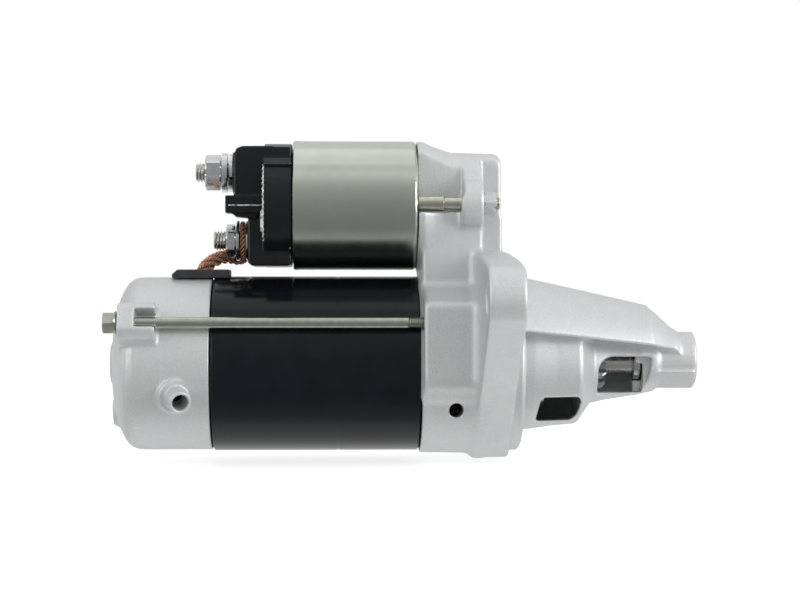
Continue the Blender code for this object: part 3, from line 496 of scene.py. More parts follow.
def turned_loop(points, angle):
    """(y, z) points turned about the motor axis by an angle."""
    turn = Matrix.Rotation(angle, 2)
    return [tuple(turn @ Vector(point)) for point in points]


def rear_cover_field():
    """Cup that closes the brush end, with its bolt bosses and drain spout."""
    rear, rim, inner_wall = COVER_REAR, YOKE_REAR - 0.3, COVER_REAR + 3.5
    hub = [(rear - 1.6, 0.0), (rear - 1.6, 7.6), (rear - 1.1, 8.8), (rear, 9.8)]
    shoulder = [(rear, 13.0), (-160.2, 17.0), (-159.6, 20.5), (-158.7, 24.0), (-157.6, 27.3),
                (-156.2, 30.3), (-154.6, 32.7), (-152.8, 34.2), (-150.6, 35.0),
                (-147.6, COVER_OUTER)]
    mouth = [(YOKE_REAR - 0.6, COVER_OUTER), (rim, COVER_OUTER - 0.3), (rim, COVER_INNER)]
    inside = [(-151.0, COVER_INNER), (-154.4, 26.0), (inner_wall, 18.0), (inner_wall, 10.6),
              (-146.5, 10.6), (-146.5, 7.5), (-158.9, 7.5), (-158.9, 0.0)]
    cup = turned(hub + shoulder + mouth + inside)
    spout_root = (-135.2, -28.6, -10.6)
    spout_aim = (0.31, -0.91, -0.27)
    spout_back = tuple(r - 8.0 * a for r, a in zip(spout_root, spout_aim))
    pad_root = tuple(r + a for r, a in zip(spout_root, spout_aim))
    corners = [(29.0, -8.6), (39.5, -8.6), (43.0, -6.0), (43.0, 4.6), (39.5, 7.2), (29.0, 7.2)]
    slot = [(36.2, -4.4), (46.0, -4.4), (46.0, 3.3), (36.2, 3.3)]
    adds = [(cup, 0), (bar(pad_root, spout_aim, 4.7, 7.0, 0.8), 1.0),
            (bar(spout_root, spout_aim, 13.5, 4.5, 0.4), 1.0),
            (disc(-161.0, -158.0, 5.5, (0.0, -20.0), 0.8), 2.5)]
    cuts = [(turned([(-152.8, 20.0), (-152.8, COVER_INNER - 0.05), (-119.0, COVER_INNER - 0.05),
                     (-119.0, 20.0)]), 0.0),
            (bar(spout_back, spout_aim, 30.0, 3.2), 0.4),
            (brick((-132.4, -6.4, 20.0), (-119.0, 6.4, 40.0)), 0.3)]
    for angle, bolt in zip((BOLT_ANGLE, BOLT_ANGLE + pi), BOLTS):
        boss = turned_loop(eased(corners, 1.4), angle)
        adds.append((swept_x(boss, BOSS_REAR, -141.3, 0.7), 1.6))
        cuts.append((swept_x(turned_loop(slot, angle), -149.4, -138.0), 0.5))
        cuts.append((disc(-170.0, -140.0, BOLT_HOLE, bolt), 0.3))
    return compose(adds, cuts)


def cap_field():
    """Moulded cap: a collar with two terminal blocks and the connector shroud."""
    front = CASE_REAR - 0.5
    adds = [
        (disc(-99.5, CASE_REAR - 0.3, 25.3, SOLENOID, 0.5), 0),
        (brick((-104.2, -17.2, 66.0), (front, 17.2, 87.7), 0.8), 0.3),
        (swept_x([(-16.0, 83.0), (-18.6, 83.0), (-21.6, 80.2), (-16.0, 79.0)], -99.5, front,
                 0.2), 0.2),
        (swept_y([(-111.5, 66.8), (-111.5, 84.6), (-110.4, 87.0), (-108.0, 87.9), (-96.0, 87.9),
                  (-96.0, 66.8)], -17.2, 17.2, 0.9), 0.4),
        (swept_y(eased([(-105.7, 70.0), (-105.7, 39.6), (front, 39.6), (front, 44.0),
                        (-94.0, 70.0)], 2.6), -16.5, 16.5, 0.8), 0.6),
        (brick((-107.6, -13.5, 66.0), (-98.0, 13.5, 72.0), 0.8), 0.8),
        (brick((-114.9, -18.5, 60.8), (-98.0, -6.0, 67.9), 0.4), 0.5),
        (swept_y([(-113.0, 61.6), (-110.8, 59.4), (-103.0, 58.6), (-100.0, 61.6)],
                 -17.6, -7.4, 0.4), 0.6),
        (disc(-112.6, -103.0, 8.6, BATTERY, 0.5), 0.3),
        (disc(-106.4, -100.0, 9.4, MOTOR, 0.4), 0.3),
    ]
    cuts = [
        (disc(-98.0, CASE_REAR + 1.0, 21.0, SOLENOID), 0.3),
        (brick((-103.5, -14.4, 43.9), (-96.0, 14.4, 84.3), 0.5), 0.3),
        (brick((-118.0, -16.9, 62.1), (-106.5, -7.6, 67.0), 0.4), 0.25),
        (disc(-115.0, -100.0, 4.3, BATTERY), 0.3),
        (disc(-110.0, -100.0, 4.3, MOTOR), 0.3),
    ]
    return compose(adds, cuts)


def grommet_field():
    """Rubber strip over the joint between cover and yoke, with its plug in the notch."""
    strip = swept_y([(-136.9, 30.4), (-136.9, 36.4), (-134.6, 38.3), (-113.6, 38.3),
                     (-113.6, 30.4)], -9.5, 9.5, 0.7)
    cylinder = turned([(-140.0, 0.0), (-140.0, YOKE_OUTER + 0.35), (-110.0, YOKE_OUTER + 0.35),
                       (-110.0, 0.0)])
    plug = brick((-132.0, -6.0, 29.0), (-120.9, 6.0, 37.0), 0.6)
    lead = bar((-126.2, 0.0, 20.0), (0, 0, 1), 30.0, 3.1)

    def field(x, y, z):
        solid = carve(strip(x, y, z), cylinder(x, y, z), 0.2)
        solid = join(solid, plug(x, y, z), 0.4)
        return carve(solid, lead(x, y, z), 0.3)
    return field


# ---- turned, threaded and hex pieces

def spun(name, profile, centre=(0.0, 0.0), sides=96, sharp=30, closed=False):
    """Piece turned about a line along X from an (x, r) profile; r = 0 ends are joined."""
    verts, rings = [], []
    for x, r in profile:
        count = sides if r else 1
        rings.append(range(len(verts), len(verts) + count))
        verts += [around(x, r, tau * i / sides, centre) for i in range(count)]
    pairs = list(zip(rings, rings[1:]))
    if closed:
        pairs.append((rings[-1], rings[0]))
    faces = []
    for near, far in pairs:
        for i in range(sides):
            j = (i + 1) % sides
            if len(near) == 1 and len(far) > 1:
                faces.append((near[0], far[i], far[j]))
            elif len(far) == 1 and len(near) > 1:
                faces.append((near[j], near[i], far[0]))
            elif len(near) > 1:
                faces.append((near[j], near[i], far[i], far[j]))
    return solid_object(name, verts, faces, sharp)


def softened(profile, radius, steps=3):
    """An (x, r) profile with rounded corners, keeping its ends."""
    loop = eased(profile, radius, steps)
    return [profile[0]] + loop[steps + 1:-(steps + 1)] + [profile[-1]]


def threaded(name, start, end, radius, pitch, centre, plain=None, sides=48):
    """Bar with a helical thread; plain is (start, end, radius) of a stretch without one."""
    depth = 0.61 * pitch
    lead_in = 0.8
    count = round((end - start) / (pitch / 10))
    verts = []
    for i in range(count + 1):
        x = start + (end - start) * i / count
        fade = min(1.0, (x - start) / lead_in, (end - x) / lead_in)
        end_radius = radius - depth * (1 - max(0.0, fade))
        for k in range(sides):
            turn = k / sides
            phase = (x / pitch + turn) % 1.0
            flank = min(1.0, max(0.0, abs(phase * 2 - 1) * 1.35 - 0.18))
            r = radius - depth * flank
            if plain and plain[0] <= x <= plain[1]:
                r = plain[2]
            verts.append(around(x, min(r, end_radius), tau * turn, centre))
    faces = [face for i in range(count) for face in band(i * sides, (i + 1) * sides, sides)]
    faces += [tuple(range(sides)), tuple(range(count * sides, (count + 1) * sides))[::-1]]
    return solid_object(name, verts, faces, sharp=35)


def bored(name, rows, sharp=28):
    """Piece skinned over rows of points that close on themselves both ways."""
    sides = len(rows[0])
    verts = [point for row in rows for point in row]
    starts = [i * sides for i in range(len(rows))]
    faces = [face for near, far in zip(starts, starts[1:] + starts[:1])
             for face in band(near, far, sides)]
    return solid_object(name, verts, faces, sharp)


def hex_nut(name, start, end, across, bore, centre, spin=0.0, flange=None):
    """Hexagon with chamfered corners and a bore; flange is (radius, thickness) at its end."""
    sides = 72
    corner = across / sqrt(3)
    chamfer = (corner - across / 2) * 0.6
    face = across * 0.49
    angles = [tau * k / sides for k in range(sides)]
    hexagon = [across / 2 / cos((a - spin) % (pi / 3) - pi / 6) for a in angles]
    round_face = [min(r, face) for r in hexagon]
    hex_end = end - flange[1] if flange else end
    outside = [(start, round_face), (start + chamfer, hexagon)]
    if flange:
        radius = flange[0]
        outside += [(hex_end, hexagon), (end - flange[1] * 0.45, [radius - 0.15] * sides),
                    (end - 0.15, [radius] * sides), (end, [radius - 0.25] * sides)]
    else:
        outside += [(end - chamfer, hexagon), (end, round_face)]
    inside = [(end, bore + 0.4), (end - 0.5, bore), (start + 0.5, bore), (start, bore + 0.4)]
    rows = outside + [(x, [r] * sides) for x, r in inside]
    return bored(name, [[around(x, r, a, centre) for r, a in zip(radii, angles)]
                        for x, radii in rows])


def gear_outline(teeth, module, tip, root, thinning, phase):
    """Radius and angle of each point round a gear's involute teeth."""
    flank_steps = 6
    pitch = teeth * module / 2
    base = pitch * cos(radians(20))

    def involute(radius):
        lean = acos(min(1.0, base / radius))
        return tan(lean) - lean

    half_tooth = (pi * module / 2 - thinning) / 2 / pitch + involute(pitch)
    radii = [root + (tip - root) * i / flank_steps for i in range(flank_steps + 1)]
    flank = [(r, half_tooth - involute(max(r, base))) for r in radii]
    points = []
    for tooth in range(teeth):
        middle = phase + tau * tooth / teeth
        points += [(r, middle - half) for r, half in flank]
        points += [(r, middle + half) for r, half in reversed(flank)]
    return points


def merged(name, parts):
    """One piece made of several, which are removed."""
    bm = bmesh.new()
    for part in parts:
        bm.from_mesh(part.data)
        bpy.data.objects.remove(part)
    mesh = bpy.data.meshes.new(name)
    bm.to_mesh(mesh)
    bm.free()
    return placed(name, mesh)


def washer(name, start, end, inner, outer, centre, soft=0.25):
    """Flat washer with rounded edges."""
    profile = eased([(start, inner), (start, outer), (end, outer), (end, inner)], soft, 3)
    return spun(name, profile, centre, sides=72, closed=True)


def split_washer(name, start, end, inner, outer, centre):
    """Spring washer: one turn of square wire with a gap, its ends sprung apart."""
    steps = 80
    gap = radians(9)
    thickness = (end - start) * 0.82
    lift = (end - start) - thickness
    verts, faces = [], []
    for i in range(steps + 1):
        share = i / steps
        angle = radians(200) + gap / 2 + (tau - gap) * share
        x = start + lift * share
        for r, side in ((inner, 0), (outer, 0), (outer, 1), (inner, 1)):
            verts.append(around(x + thickness * side, r, angle, centre))
    for i in range(steps):
        for k in range(4):
            j = (k + 1) % 4
            faces.append((i * 4 + k, i * 4 + j, i * 4 + 4 + j, i * 4 + 4 + k))
    faces += [(0, 1, 2, 3), tuple(steps * 4 + k for k in (3, 2, 1, 0))]
    return solid_object(name, verts, faces, sharp=30)


# ---- motor lead

def motor_lead_route():
    """Centre line of the braid, from the terminal's lug into the rear cover."""
    return [(-108.5, 10.0, 44.4), (-109.8, 11.9, 43.5), (-112.0, 12.0, 43.4), (-115.4, 10.2, 43.9),
            (-119.4, 6.4, 42.9), (-123.0, 2.6, 40.4), (-125.4, 0.6, 36.6), (-126.2, 0.0, 32.4),
            (-126.2, 0.0, 28.6)]


def smooth_path(points, steps):
    """Points on a Catmull-Rom curve through the given ones."""
    knots = [Vector(p) for p in points]
    knots = [knots[0] * 2 - knots[1]] + knots + [knots[-1] * 2 - knots[-2]]
    path = []
    for a, b, c, d in zip(knots, knots[1:], knots[2:], knots[3:]):
        for step in range(steps):
            t = step / steps
            path.append((b * 2 + (c - a) * t + (a * 2 - b * 5 + c * 4 - d) * t ** 2
                         + (b * 3 - a - c * 3 + d) * t ** 3) / 2)
    return path + [knots[-2]]


def frames_along(path):
    """Two directions across the path at each of its points, carried along without twist."""
    normal = (path[1] - path[0]).orthogonal().normalized()
    found = []
    for i in range(len(path)):
        tangent = (path[min(i + 1, len(path) - 1)] - path[max(i - 1, 0)]).normalized()
        normal = (normal - tangent * normal.dot(tangent)).normalized()
        found.append((normal, tangent.cross(normal)))
    return found


def tubes(name, lines, radius, sides=5):
    """One mesh of round wires, each along its own list of points."""
    verts, faces = [], []
    for line in lines:
        base = len(verts)
        for point, (one, two) in zip(line, frames_along(line)):
            for k in range(sides):
                a = tau * k / sides
                verts.append(tuple(point + (one * cos(a) + two * sin(a)) * radius))
        for i in range(len(line) - 1):
            for k in range(sides):
                j = (k + 1) % sides
                row = base + i * sides
                faces.append((row + k, row + j, row + sides + j, row + sides + k))
        last = base + (len(line) - 1) * sides
        faces.append(tuple(base + k for k in reversed(range(sides))))
        faces.append(tuple(last + k for k in range(sides)))
    return mesh_object(name, verts, faces)


def rope_lines(path, radius, strands, wires, turns):
    """Wires of a rope: strands twisted round the path, and wires twisted in each strand."""
    frames = frames_along(path)
    strand_radius = radius * 0.36
    wire_radius = strand_radius * 0.30
    strand_orbit, wire_orbit = radius - strand_radius, strand_radius - wire_radius
    lines = []
    for s in range(strands):
        for w in range(wires):
            line = []
            for i, (point, (one, two)) in enumerate(zip(path, frames)):
                share = i / (len(path) - 1)
                a = tau * (s / strands + turns * share)
                b = tau * (w / wires - turns * 3.1 * share) + s
                u = strand_orbit * cos(a) + wire_orbit * cos(b)
                v = strand_orbit * sin(a) + wire_orbit * sin(b)
                line.append(point + one * u + two * v)
            lines.append(line)
    return lines, wire_radius


# ---- material nodes

def new_material(name):
    """Empty node material with its shader."""
    made = bpy.data.materials.new(name)
    made.use_nodes = True
    return made, made.node_tree, made.node_tree.nodes["Principled BSDF"]


def node(tree, kind, inputs=(), **settings):
    """Add a node; inputs pairs each socket with a value or with another node's output."""
    made = tree.nodes.new(kind)
    for key, value in settings.items():
        setattr(made, key, value)
    for socket, value in dict(inputs).items():
        if isinstance(value, bpy.types.NodeSocket):
            tree.links.new(value, made.inputs[socket])
        else:
            made.inputs[socket].default_value = value
    return made


def millimetres(tree, stretch=(1.0, 1.0, 1.0)):
    """Object coordinates in millimetres, stretched along each axis."""
    place = node(tree, "ShaderNodeTexCoord").outputs["Object"]
    scale = tuple(1000.0 * s for s in stretch)
    return node(tree, "ShaderNodeMapping", {"Vector": place, "Scale": scale}).outputs[0]


def noise(tree, scale, detail=3.0, stretch=(1.0, 1.0, 1.0), roughness=0.55):
    """Noise whose features are about 1 / scale millimetres across."""
    return node(tree, "ShaderNodeTexNoise", {"Vector": millimetres(tree, stretch), "Scale": scale,
                                             "Detail": detail, "Roughness": roughness}).outputs[0]


def ramp(tree, factor, *stops):
    """Colour ramp through (position, colour or grey) stops."""
    made = node(tree, "ShaderNodeValToRGB", {"Fac": factor})
    elements = made.color_ramp.elements
    while len(elements) < len(stops):
        elements.new(0.5)
    for element, (position, colour) in zip(elements, stops):
        element.position = position
        if not isinstance(colour, tuple):
            colour = (colour, colour, colour)
        element.color = (*colour, 1.0)
    return made.outputs[0]


def between(tree, factor, low, high):
    """The middle stretch of a noise spread from one colour or grey to another."""
    return ramp(tree, factor, (0.3, low), (0.7, high))


def blend(tree, factor, first, second):
    """Mix two colours."""
    made = node(tree, "ShaderNodeMix", data_type="RGBA")
    for socket, value in zip((made.inputs[0], made.inputs[6], made.inputs[7]),
                             (factor, first, second)):
        if isinstance(value, bpy.types.NodeSocket):
            tree.links.new(value, socket)
        elif isinstance(value, tuple):
            socket.default_value = (*value, 1.0)
        else:
            socket.default_value = value
    return made.outputs[2]


def arithmetic(tree, operation, first, second=0.0, third=0.0):
    """A Math node's result."""
    return node(tree, "ShaderNodeMath", {0: first, 1: second, 2: third},
                operation=operation).outputs[0]


def bump(tree, height, strength, depth, under=None):
    """Bump from a height, of a depth in millimetres."""
    inputs = {"Height": height, "Strength": strength, "Distance": depth * MM}
    if under is not None:
        inputs["Normal"] = under
    return node(tree, "ShaderNodeBump", inputs).outputs[0]


def feed(tree, shader, **sockets):
    """Link outputs to, or set values of, the shader's sockets."""
    for key, value in sockets.items():
        socket = shader.inputs[key.replace("_", " ")]
        if isinstance(value, bpy.types.NodeSocket):
            tree.links.new(value, socket)
        elif isinstance(value, tuple):
            socket.default_value = (*value, 1.0)
        else:
            socket.default_value = value


def edges(tree, low, high, amount):
    """An amount on convex edges and 0 elsewhere."""
    point = node(tree, "ShaderNodeNewGeometry").outputs["Pointiness"]
    return ramp(tree, point, (low, 0.0), (high, amount))


def painted_crevice_shade(tree, amount):
    """An amount in concave corners and 0 elsewhere, the mask of painted shade in hollows."""
    point = node(tree, "ShaderNodeNewGeometry").outputs["Pointiness"]
    return ramp(tree, point, (0.42, amount), (0.49, 0.0))


# ---- materials

def cast_aluminium():
    """Shot-blasted casting: fine grain, slow mottling, brighter edges, and painted shade in concave
    corners.
    """
    made, tree, shader = new_material("cast_aluminium")
    grain = noise(tree, 2.2, 3.0)
    skin = noise(tree, 0.16, 4.0)
    speckle = noise(tree, 3.0, 2.0)
    bright_specks = ramp(tree, speckle, (0.42, 0.0), (0.66, 0.35))
    dark_specks = ramp(tree, speckle, (0.34, 0.30), (0.46, 0.0))
    colour = between(tree, skin, (0.615, 0.635, 0.635), (0.645, 0.665, 0.66))
    colour = blend(tree, bright_specks, colour, (0.80, 0.82, 0.82))
    colour = blend(tree, dark_specks, colour, (0.44, 0.46, 0.465))
    # painted shade: concave corners darkened towards a deep grey
    colour = blend(tree, painted_crevice_shade(tree, 0.35), colour, (0.30, 0.32, 0.33))
    colour = blend(tree, edges(tree, 0.51, 0.62, 0.35), colour, (0.86, 0.87, 0.87))
    feed(tree, shader, Base_Color=colour, Metallic=0.6,
         Roughness=between(tree, grain, 0.44, 0.56),
         Normal=bump(tree, grain, 0.5, 0.12, bump(tree, skin, 0.3, 0.2)))
    return made


def gloss_black():
    """Stoved black enamel with a little orange peel and dust."""
    made, tree, shader = new_material("black_paint")
    peel = noise(tree, 0.45, 2.0)
    fine = noise(tree, 2.2, 2.0)
    colour = between(tree, noise(tree, 0.08, 3.0), (0.003, 0.004, 0.0055),
                     (0.005, 0.0065, 0.009))
    feed(tree, shader, Base_Color=colour, Roughness=between(tree, fine, 0.12, 0.18),
         Specular_IOR_Level=0.3, Normal=bump(tree, peel, 0.06, 0.10))
    return made


def passivated_zinc():
    """Zinc plate with a greenish passivation, drawn finely round the can."""
    made, tree, shader = new_material("passivated_zinc")
    lines = noise(tree, 0.25, 2.0, stretch=(1.0, 0.05, 0.05))
    cloud = noise(tree, 0.05, 3.0)
    colour = between(tree, cloud, (0.54, 0.59, 0.52), (0.60, 0.64, 0.565))
    feed(tree, shader, Base_Color=colour, Metallic=1.0,
         Roughness=between(tree, lines, 0.20, 0.26),
         Normal=bump(tree, lines, 0.015, 0.02))
    return made


def scaled(colour, share):
    """A colour made darker."""
    return tuple(share * c for c in colour)


def plated_steel(name, colour, roughness):
    """Bright plated steel of fasteners, with small stains, and painted shade that darkens its
    hollows.
    """
    made, tree, shader = new_material(name)
    stain = noise(tree, 0.35, 3.0)
    fine = noise(tree, 1.4, 3.0)
    tint = ramp(tree, stain, (0.35, scaled(colour, 0.88)), (0.65, colour))
    # painted shade: hollows darkened to 0.3 of the plate's colour
    tint = blend(tree, painted_crevice_shade(tree, 0.6), tint, scaled(colour, 0.3))
    feed(tree, shader, Base_Color=tint, Metallic=1.0,
         Roughness=between(tree, fine, roughness - 0.04, roughness + 0.04),
         Normal=bump(tree, fine, 0.02, 0.02))
    return made


def turned_steel(name, colour, roughness):
    """Steel with the rings that a lathe or grinder leaves round the X axis."""
    made, tree, shader = new_material(name)
    ring_pitch = 0.18
    rings = noise(tree, 0.5 / ring_pitch, 2.0, stretch=(1.0, 0.03, 0.03))
    tint = between(tree, noise(tree, 0.12, 3.0), scaled(colour, 0.85), colour)
    feed(tree, shader, Base_Color=tint, Metallic=1.0,
         Roughness=between(tree, rings, roughness - 0.06, roughness + 0.08),
         Normal=bump(tree, rings, 0.18, 0.03))
    return made


def moulded_plastic():
    """Charcoal glass-filled plastic with a faint flow pattern, and painted highlights on its convex
    edges.
    """
    made, tree, shader = new_material("black_plastic")
    flow = noise(tree, 0.12, 4.0, stretch=(1.0, 0.4, 1.0))
    fine = noise(tree, 2.6, 3.0)
    colour = between(tree, flow, (0.004, 0.0055, 0.006), (0.007, 0.009, 0.010))
    # painted highlight: convex edges lightened towards a mid grey
    colour = blend(tree, edges(tree, 0.53, 0.62, 0.6), colour, (0.30, 0.33, 0.34))
    feed(tree, shader, Base_Color=colour, Specular_IOR_Level=0.35,
         Roughness=between(tree, fine, 0.15, 0.24),
         Normal=bump(tree, fine, 0.06, 0.04, bump(tree, flow, 0.2, 0.12)))
    return made


def black_rubber():
    """Soft rubber with mould bloom."""
    made, tree, shader = new_material("black_rubber")
    fine = noise(tree, 1.8, 4.0)
    colour = between(tree, noise(tree, 0.2, 3.0), (0.014, 0.015, 0.016),
                     (0.030, 0.031, 0.032))
    feed(tree, shader, Base_Color=colour, Roughness=between(tree, fine, 0.50, 0.66),
         Normal=bump(tree, fine, 0.2, 0.06))
    return made


def bare_copper():
    """Copper wire, with painted shade that makes the gaps between strands nearly black."""
    made, tree, shader = new_material("copper")
    fine = noise(tree, 3.0, 2.0)
    colour = ramp(tree, noise(tree, 1.1, 3.0), (0.35, (0.62, 0.26, 0.13)),
                  (0.65, (0.98, 0.60, 0.40)))
    # painted shade: ambient occlusion darkens the copper nearly to black between strands
    open_sky = node(tree, "ShaderNodeAmbientOcclusion", {"Distance": 1.2 * MM},
                    samples=8).outputs["AO"]
    gaps = ramp(tree, open_sky, (0.2, 1.0), (0.6, 0.0))
    colour = blend(tree, gaps, colour, (0.05, 0.016, 0.01))
    feed(tree, shader, Base_Color=colour, Metallic=0.6,
         Roughness=between(tree, fine, 0.16, 0.30), Normal=bump(tree, fine, 0.1, 0.02))
    return made


def grainy(name, dark, bright, scale, roughness, metallic=0.0):
    """Sintered, pressed or ceramic material with a visible grain."""
    made, tree, shader = new_material(name)
    grain = noise(tree, scale, 5.0)
    feed(tree, shader, Base_Color=ramp(tree, grain, (0.35, dark), (0.65, bright)),
         Metallic=metallic, Roughness=between(tree, grain, roughness, roughness + 0.15),
         Normal=bump(tree, grain, 0.3, 0.06))
    return made


FINISHES = {
    "cast": cast_aluminium(),
    "black_paint": gloss_black(),
    "zinc": passivated_zinc(),
    "plate": plated_steel("zinc_plate", (0.74, 0.76, 0.77), 0.18),
    "bolt": plated_steel("dull_zinc", (0.52, 0.54, 0.47), 0.20),
    "yellow_zinc": plated_steel("yellow_zinc", (0.66, 0.65, 0.54), 0.16),
    "stud": plated_steel("tinned_copper", (0.78, 0.77, 0.74), 0.16),
    "tin": plated_steel("tin_plate", (0.74, 0.73, 0.70), 0.30),
    "ground": turned_steel("ground_steel", (0.62, 0.62, 0.61), 0.24),
    "gear": turned_steel("gear_steel", (0.44, 0.44, 0.45), 0.30),
    "iron": turned_steel("soft_iron", (0.36, 0.36, 0.37), 0.42),
    "spring": plated_steel("spring_steel", (0.52, 0.52, 0.52), 0.30),
    "copper": bare_copper(),
    "bronze": grainy("sintered_bronze", (0.36, 0.22, 0.10), (0.62, 0.42, 0.22), 1.6, 0.42, 1.0),
    "ferrite": grainy("ferrite", (0.035, 0.036, 0.038), (0.07, 0.07, 0.072), 1.0, 0.55),
    "carbon": grainy("brush_carbon", (0.03, 0.028, 0.027), (0.09, 0.07, 0.06), 2.4, 0.5),
    "plastic": moulded_plastic(),
    "rubber": black_rubber(),
    # pale grain of the mould flash: painted highlight along the cap's parting lines
    "flash": grainy("pale_flash_painted_highlight", (0.10, 0.11, 0.11), (0.85, 0.88, 0.86), 0.7, 0.28),
}


# ---- pieces

def dress(piece, finish):
    """Give a piece a finish in place of what it has."""
    piece.data.materials.clear()
    piece.data.materials.append(FINISHES[finish])


def fit(piece, finish, body, *nodes):
    """Give a piece its finish, its body and the CAD nodes it stands for."""
    dress(piece, finish)
    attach(piece, body)
    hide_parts(*nodes)


def make_castings():
    """Drive end housing and rear cover."""
    housing = moulded("housing_casting", compose(housing_adds(), housing_cuts()),
                      (-37.5, -86.0, -41.0), (77.5, 86.0, 91.0), 0.45, 2)
    fit(housing, "cast", "housing", "drive_end_housing")
    cover = moulded("rear_cover_casting", rear_cover_field(), (-163.5, -44.0, -37.0),
                    (-120.2, 44.0, 37.0), 0.4, 2)
    fit(cover, "cast", "housing", "rear_cover")


def make_yoke():
    """Painted tube with rounded ends and the groove where its rolled seam is dressed."""
    rear, front = YOKE_REAR + 0.3, YOKE_FRONT - 0.3
    groove = -69.5
    profile = [(rear, YOKE_INNER), (rear, YOKE_OUTER - 0.5), (rear + 0.5, YOKE_OUTER),
               (groove - 0.7, YOKE_OUTER), (groove - 0.3, YOKE_OUTER - 0.14),
               (groove + 0.3, YOKE_OUTER - 0.14), (groove + 0.7, YOKE_OUTER),
               (front - 0.5, YOKE_OUTER), (front, YOKE_OUTER - 0.5), (front, YOKE_INNER)]
    yoke = spun("yoke_shell", eased(profile, 0.3, 3), sides=160, closed=True)
    fit(yoke, "black_paint", "housing", "yoke_tube")


def make_solenoid_can():
    """Drawn can, rounded at the front and crimped over the cap's collar at the rear."""
    rear, front = CASE_REAR, CASE_FRONT
    corner = arc(1.6, radians(90), 0.0, 8, (front - 1.6, CASE_OUTER - 1.6))
    crimp = [(rear + 1.6, CASE_INNER), (rear + 0.4, 25.0), (rear + 0.1, 25.5),
             (rear + 0.1, 26.0), (rear + 0.4, 26.35), (rear + 1.0, 26.5), (rear + 2.0, 26.5),
             (rear + 2.6, CASE_OUTER)]
    mouth = [(front, 12.2), (front - 0.4, 11.8), (front - 2.9, 11.8), (front - 3.3, 12.2),
             (front - 3.3, CASE_INNER - 0.6), (front - 3.9, CASE_INNER)]
    profile = crimp + corner + mouth
    can = spun("solenoid_can", profile, SOLENOID, sides=160, closed=True)
    fit(can, "zinc", "housing", "solenoid_case")


def make_cap():
    """Terminal cap, its blade and the rubber grommet below it."""
    cap = moulded("cap_moulding", cap_field(), (-117.0, -25.9, 39.0), (-87.5, 25.9, 90.6), 0.28)
    fit(cap, "plastic", "housing", "solenoid_cap")
    rubber = moulded("grommet_rubber", grommet_field(), (-138.0, -10.0, 28.5),
                     (-113.0, 10.0, 39.0), 0.3)
    fit(rubber, "rubber", "housing", "lead_grommet")
    blade = moulded("control_blade", blade_field(), (-115.0, -15.8, 63.4),
                    (-106.4, -8.7, 64.9), 0.16)
    fit(blade, "tin", "housing", "spade_terminal")


def make_flash():
    """Ragged mould flash along the cap's parting line and on the connector shroud; its pale grain
    is painted highlight along those lines.
    """
    radius = 25.15
    rim = [(-99.6 - 0.3 * sin(k * 2.3) * sin(k * 0.7), -radius * cos(radians(a)),
            SOLENOID_Z + radius * sin(radians(a)))
           for k, a in enumerate(np.linspace(-37.0, 38.0, 60))]
    shroud = [(-113.6 + 0.45 * k, -18.6, 63.9 + 0.06 * sin(k * 1.9)) for k in range(30)]
    smear = [(-99.8 - 0.35 * abs(sin(k * 1.7)), -24.9 + 0.05 * k, 53.4 + 0.42 * k)
             for k in range(20)]
    lines = [[Vector(point) for point in line] for line in (rim, shroud, smear)]
    parts = [tubes("line", [line], bead, 6) for line, bead in zip(lines, (0.30, 0.28, 0.62))]
    flash = merged("cap_mould_flash", parts)
    fit(flash, "flash", "housing")


def blade_field():
    """Male blade: bevelled tip, and the hole that a terminal's barb drops into."""
    tip = [(-106.8, -15.4), (-106.8, -9.1), (-112.2, -9.1), (-113.4, -10.0), (-113.4, -14.5),
           (-112.2, -15.4)]
    hole = brick((-111.5, -13.0, 60.0), (-109.9, -11.4, 68.0), 0.7)
    plate = swept_z(tip, 63.7, 64.5, 0.15)
    return lambda x, y, z: carve(plate(x, y, z), hole(x, y, z), 0.1)


def make_terminals():
    """Studs, nuts and washers of the battery and motor terminals."""
    for name, centre, tip in (("battery", BATTERY, -127.6), ("motor", MOTOR, -120.3)):
        head = softened([(-103.4, 0.0), (-103.4, 5.8), (-99.8, 5.8), (-99.8, 0.0)], 0.4)
        stud = merged(f"{name}_stud_thread", [
            threaded("thread", tip, -103.0, 4.0, 1.25, centre),
            spun("head", head, centre, sides=48)])
        fit(stud, "stud", "housing", f"{name}_stud")
    bore = 4.15
    pieces = {
        "battery_nut": hex_nut("battery_hex_nut", -123.7, -117.2, 13.0, bore, BATTERY,
                               radians(28)),
        "battery_washer": washer("battery_flat_washer", -116.9, -114.6, 4.5, 8.05, BATTERY),
        "battery_spring_washer": split_washer("battery_split_washer", -114.3, -111.6, 4.4, 7.7,
                                              BATTERY),
        "motor_nut": hex_nut("motor_hex_nut", -115.2, -111.3, 12.0, bore, MOTOR, radians(33)),
        "motor_washer": washer("motor_flat_washer", -111.0, -109.8, 4.5, 8.2, MOTOR),
        "motor_lug_washer": washer("motor_seat_washer", -107.1, -106.0, 4.5, 8.0, MOTOR),
    }
    for node_name, piece in pieces.items():
        fit(piece, "plate", "housing", node_name)


def make_through_bolts():
    """Long bolts with rolled threads and flanged heads."""
    seat = BOSS_REAR - 0.3
    shank = (seat - 2.0, -42.2, BOLT_RADIUS)
    for number, centre in enumerate(BOLTS, 1):
        bolt = merged(f"long_bolt_{number}", [
            threaded("shank", seat - 1.5, -19.5, BOLT_RADIUS, 0.9, centre, shank, sides=40),
            hex_nut("head", seat - 5.2, seat, 8.0, 2.0, centre, flange=(4.7, 1.3))])
        fit(bolt, "bolt", "housing", f"through_bolt_{number}")


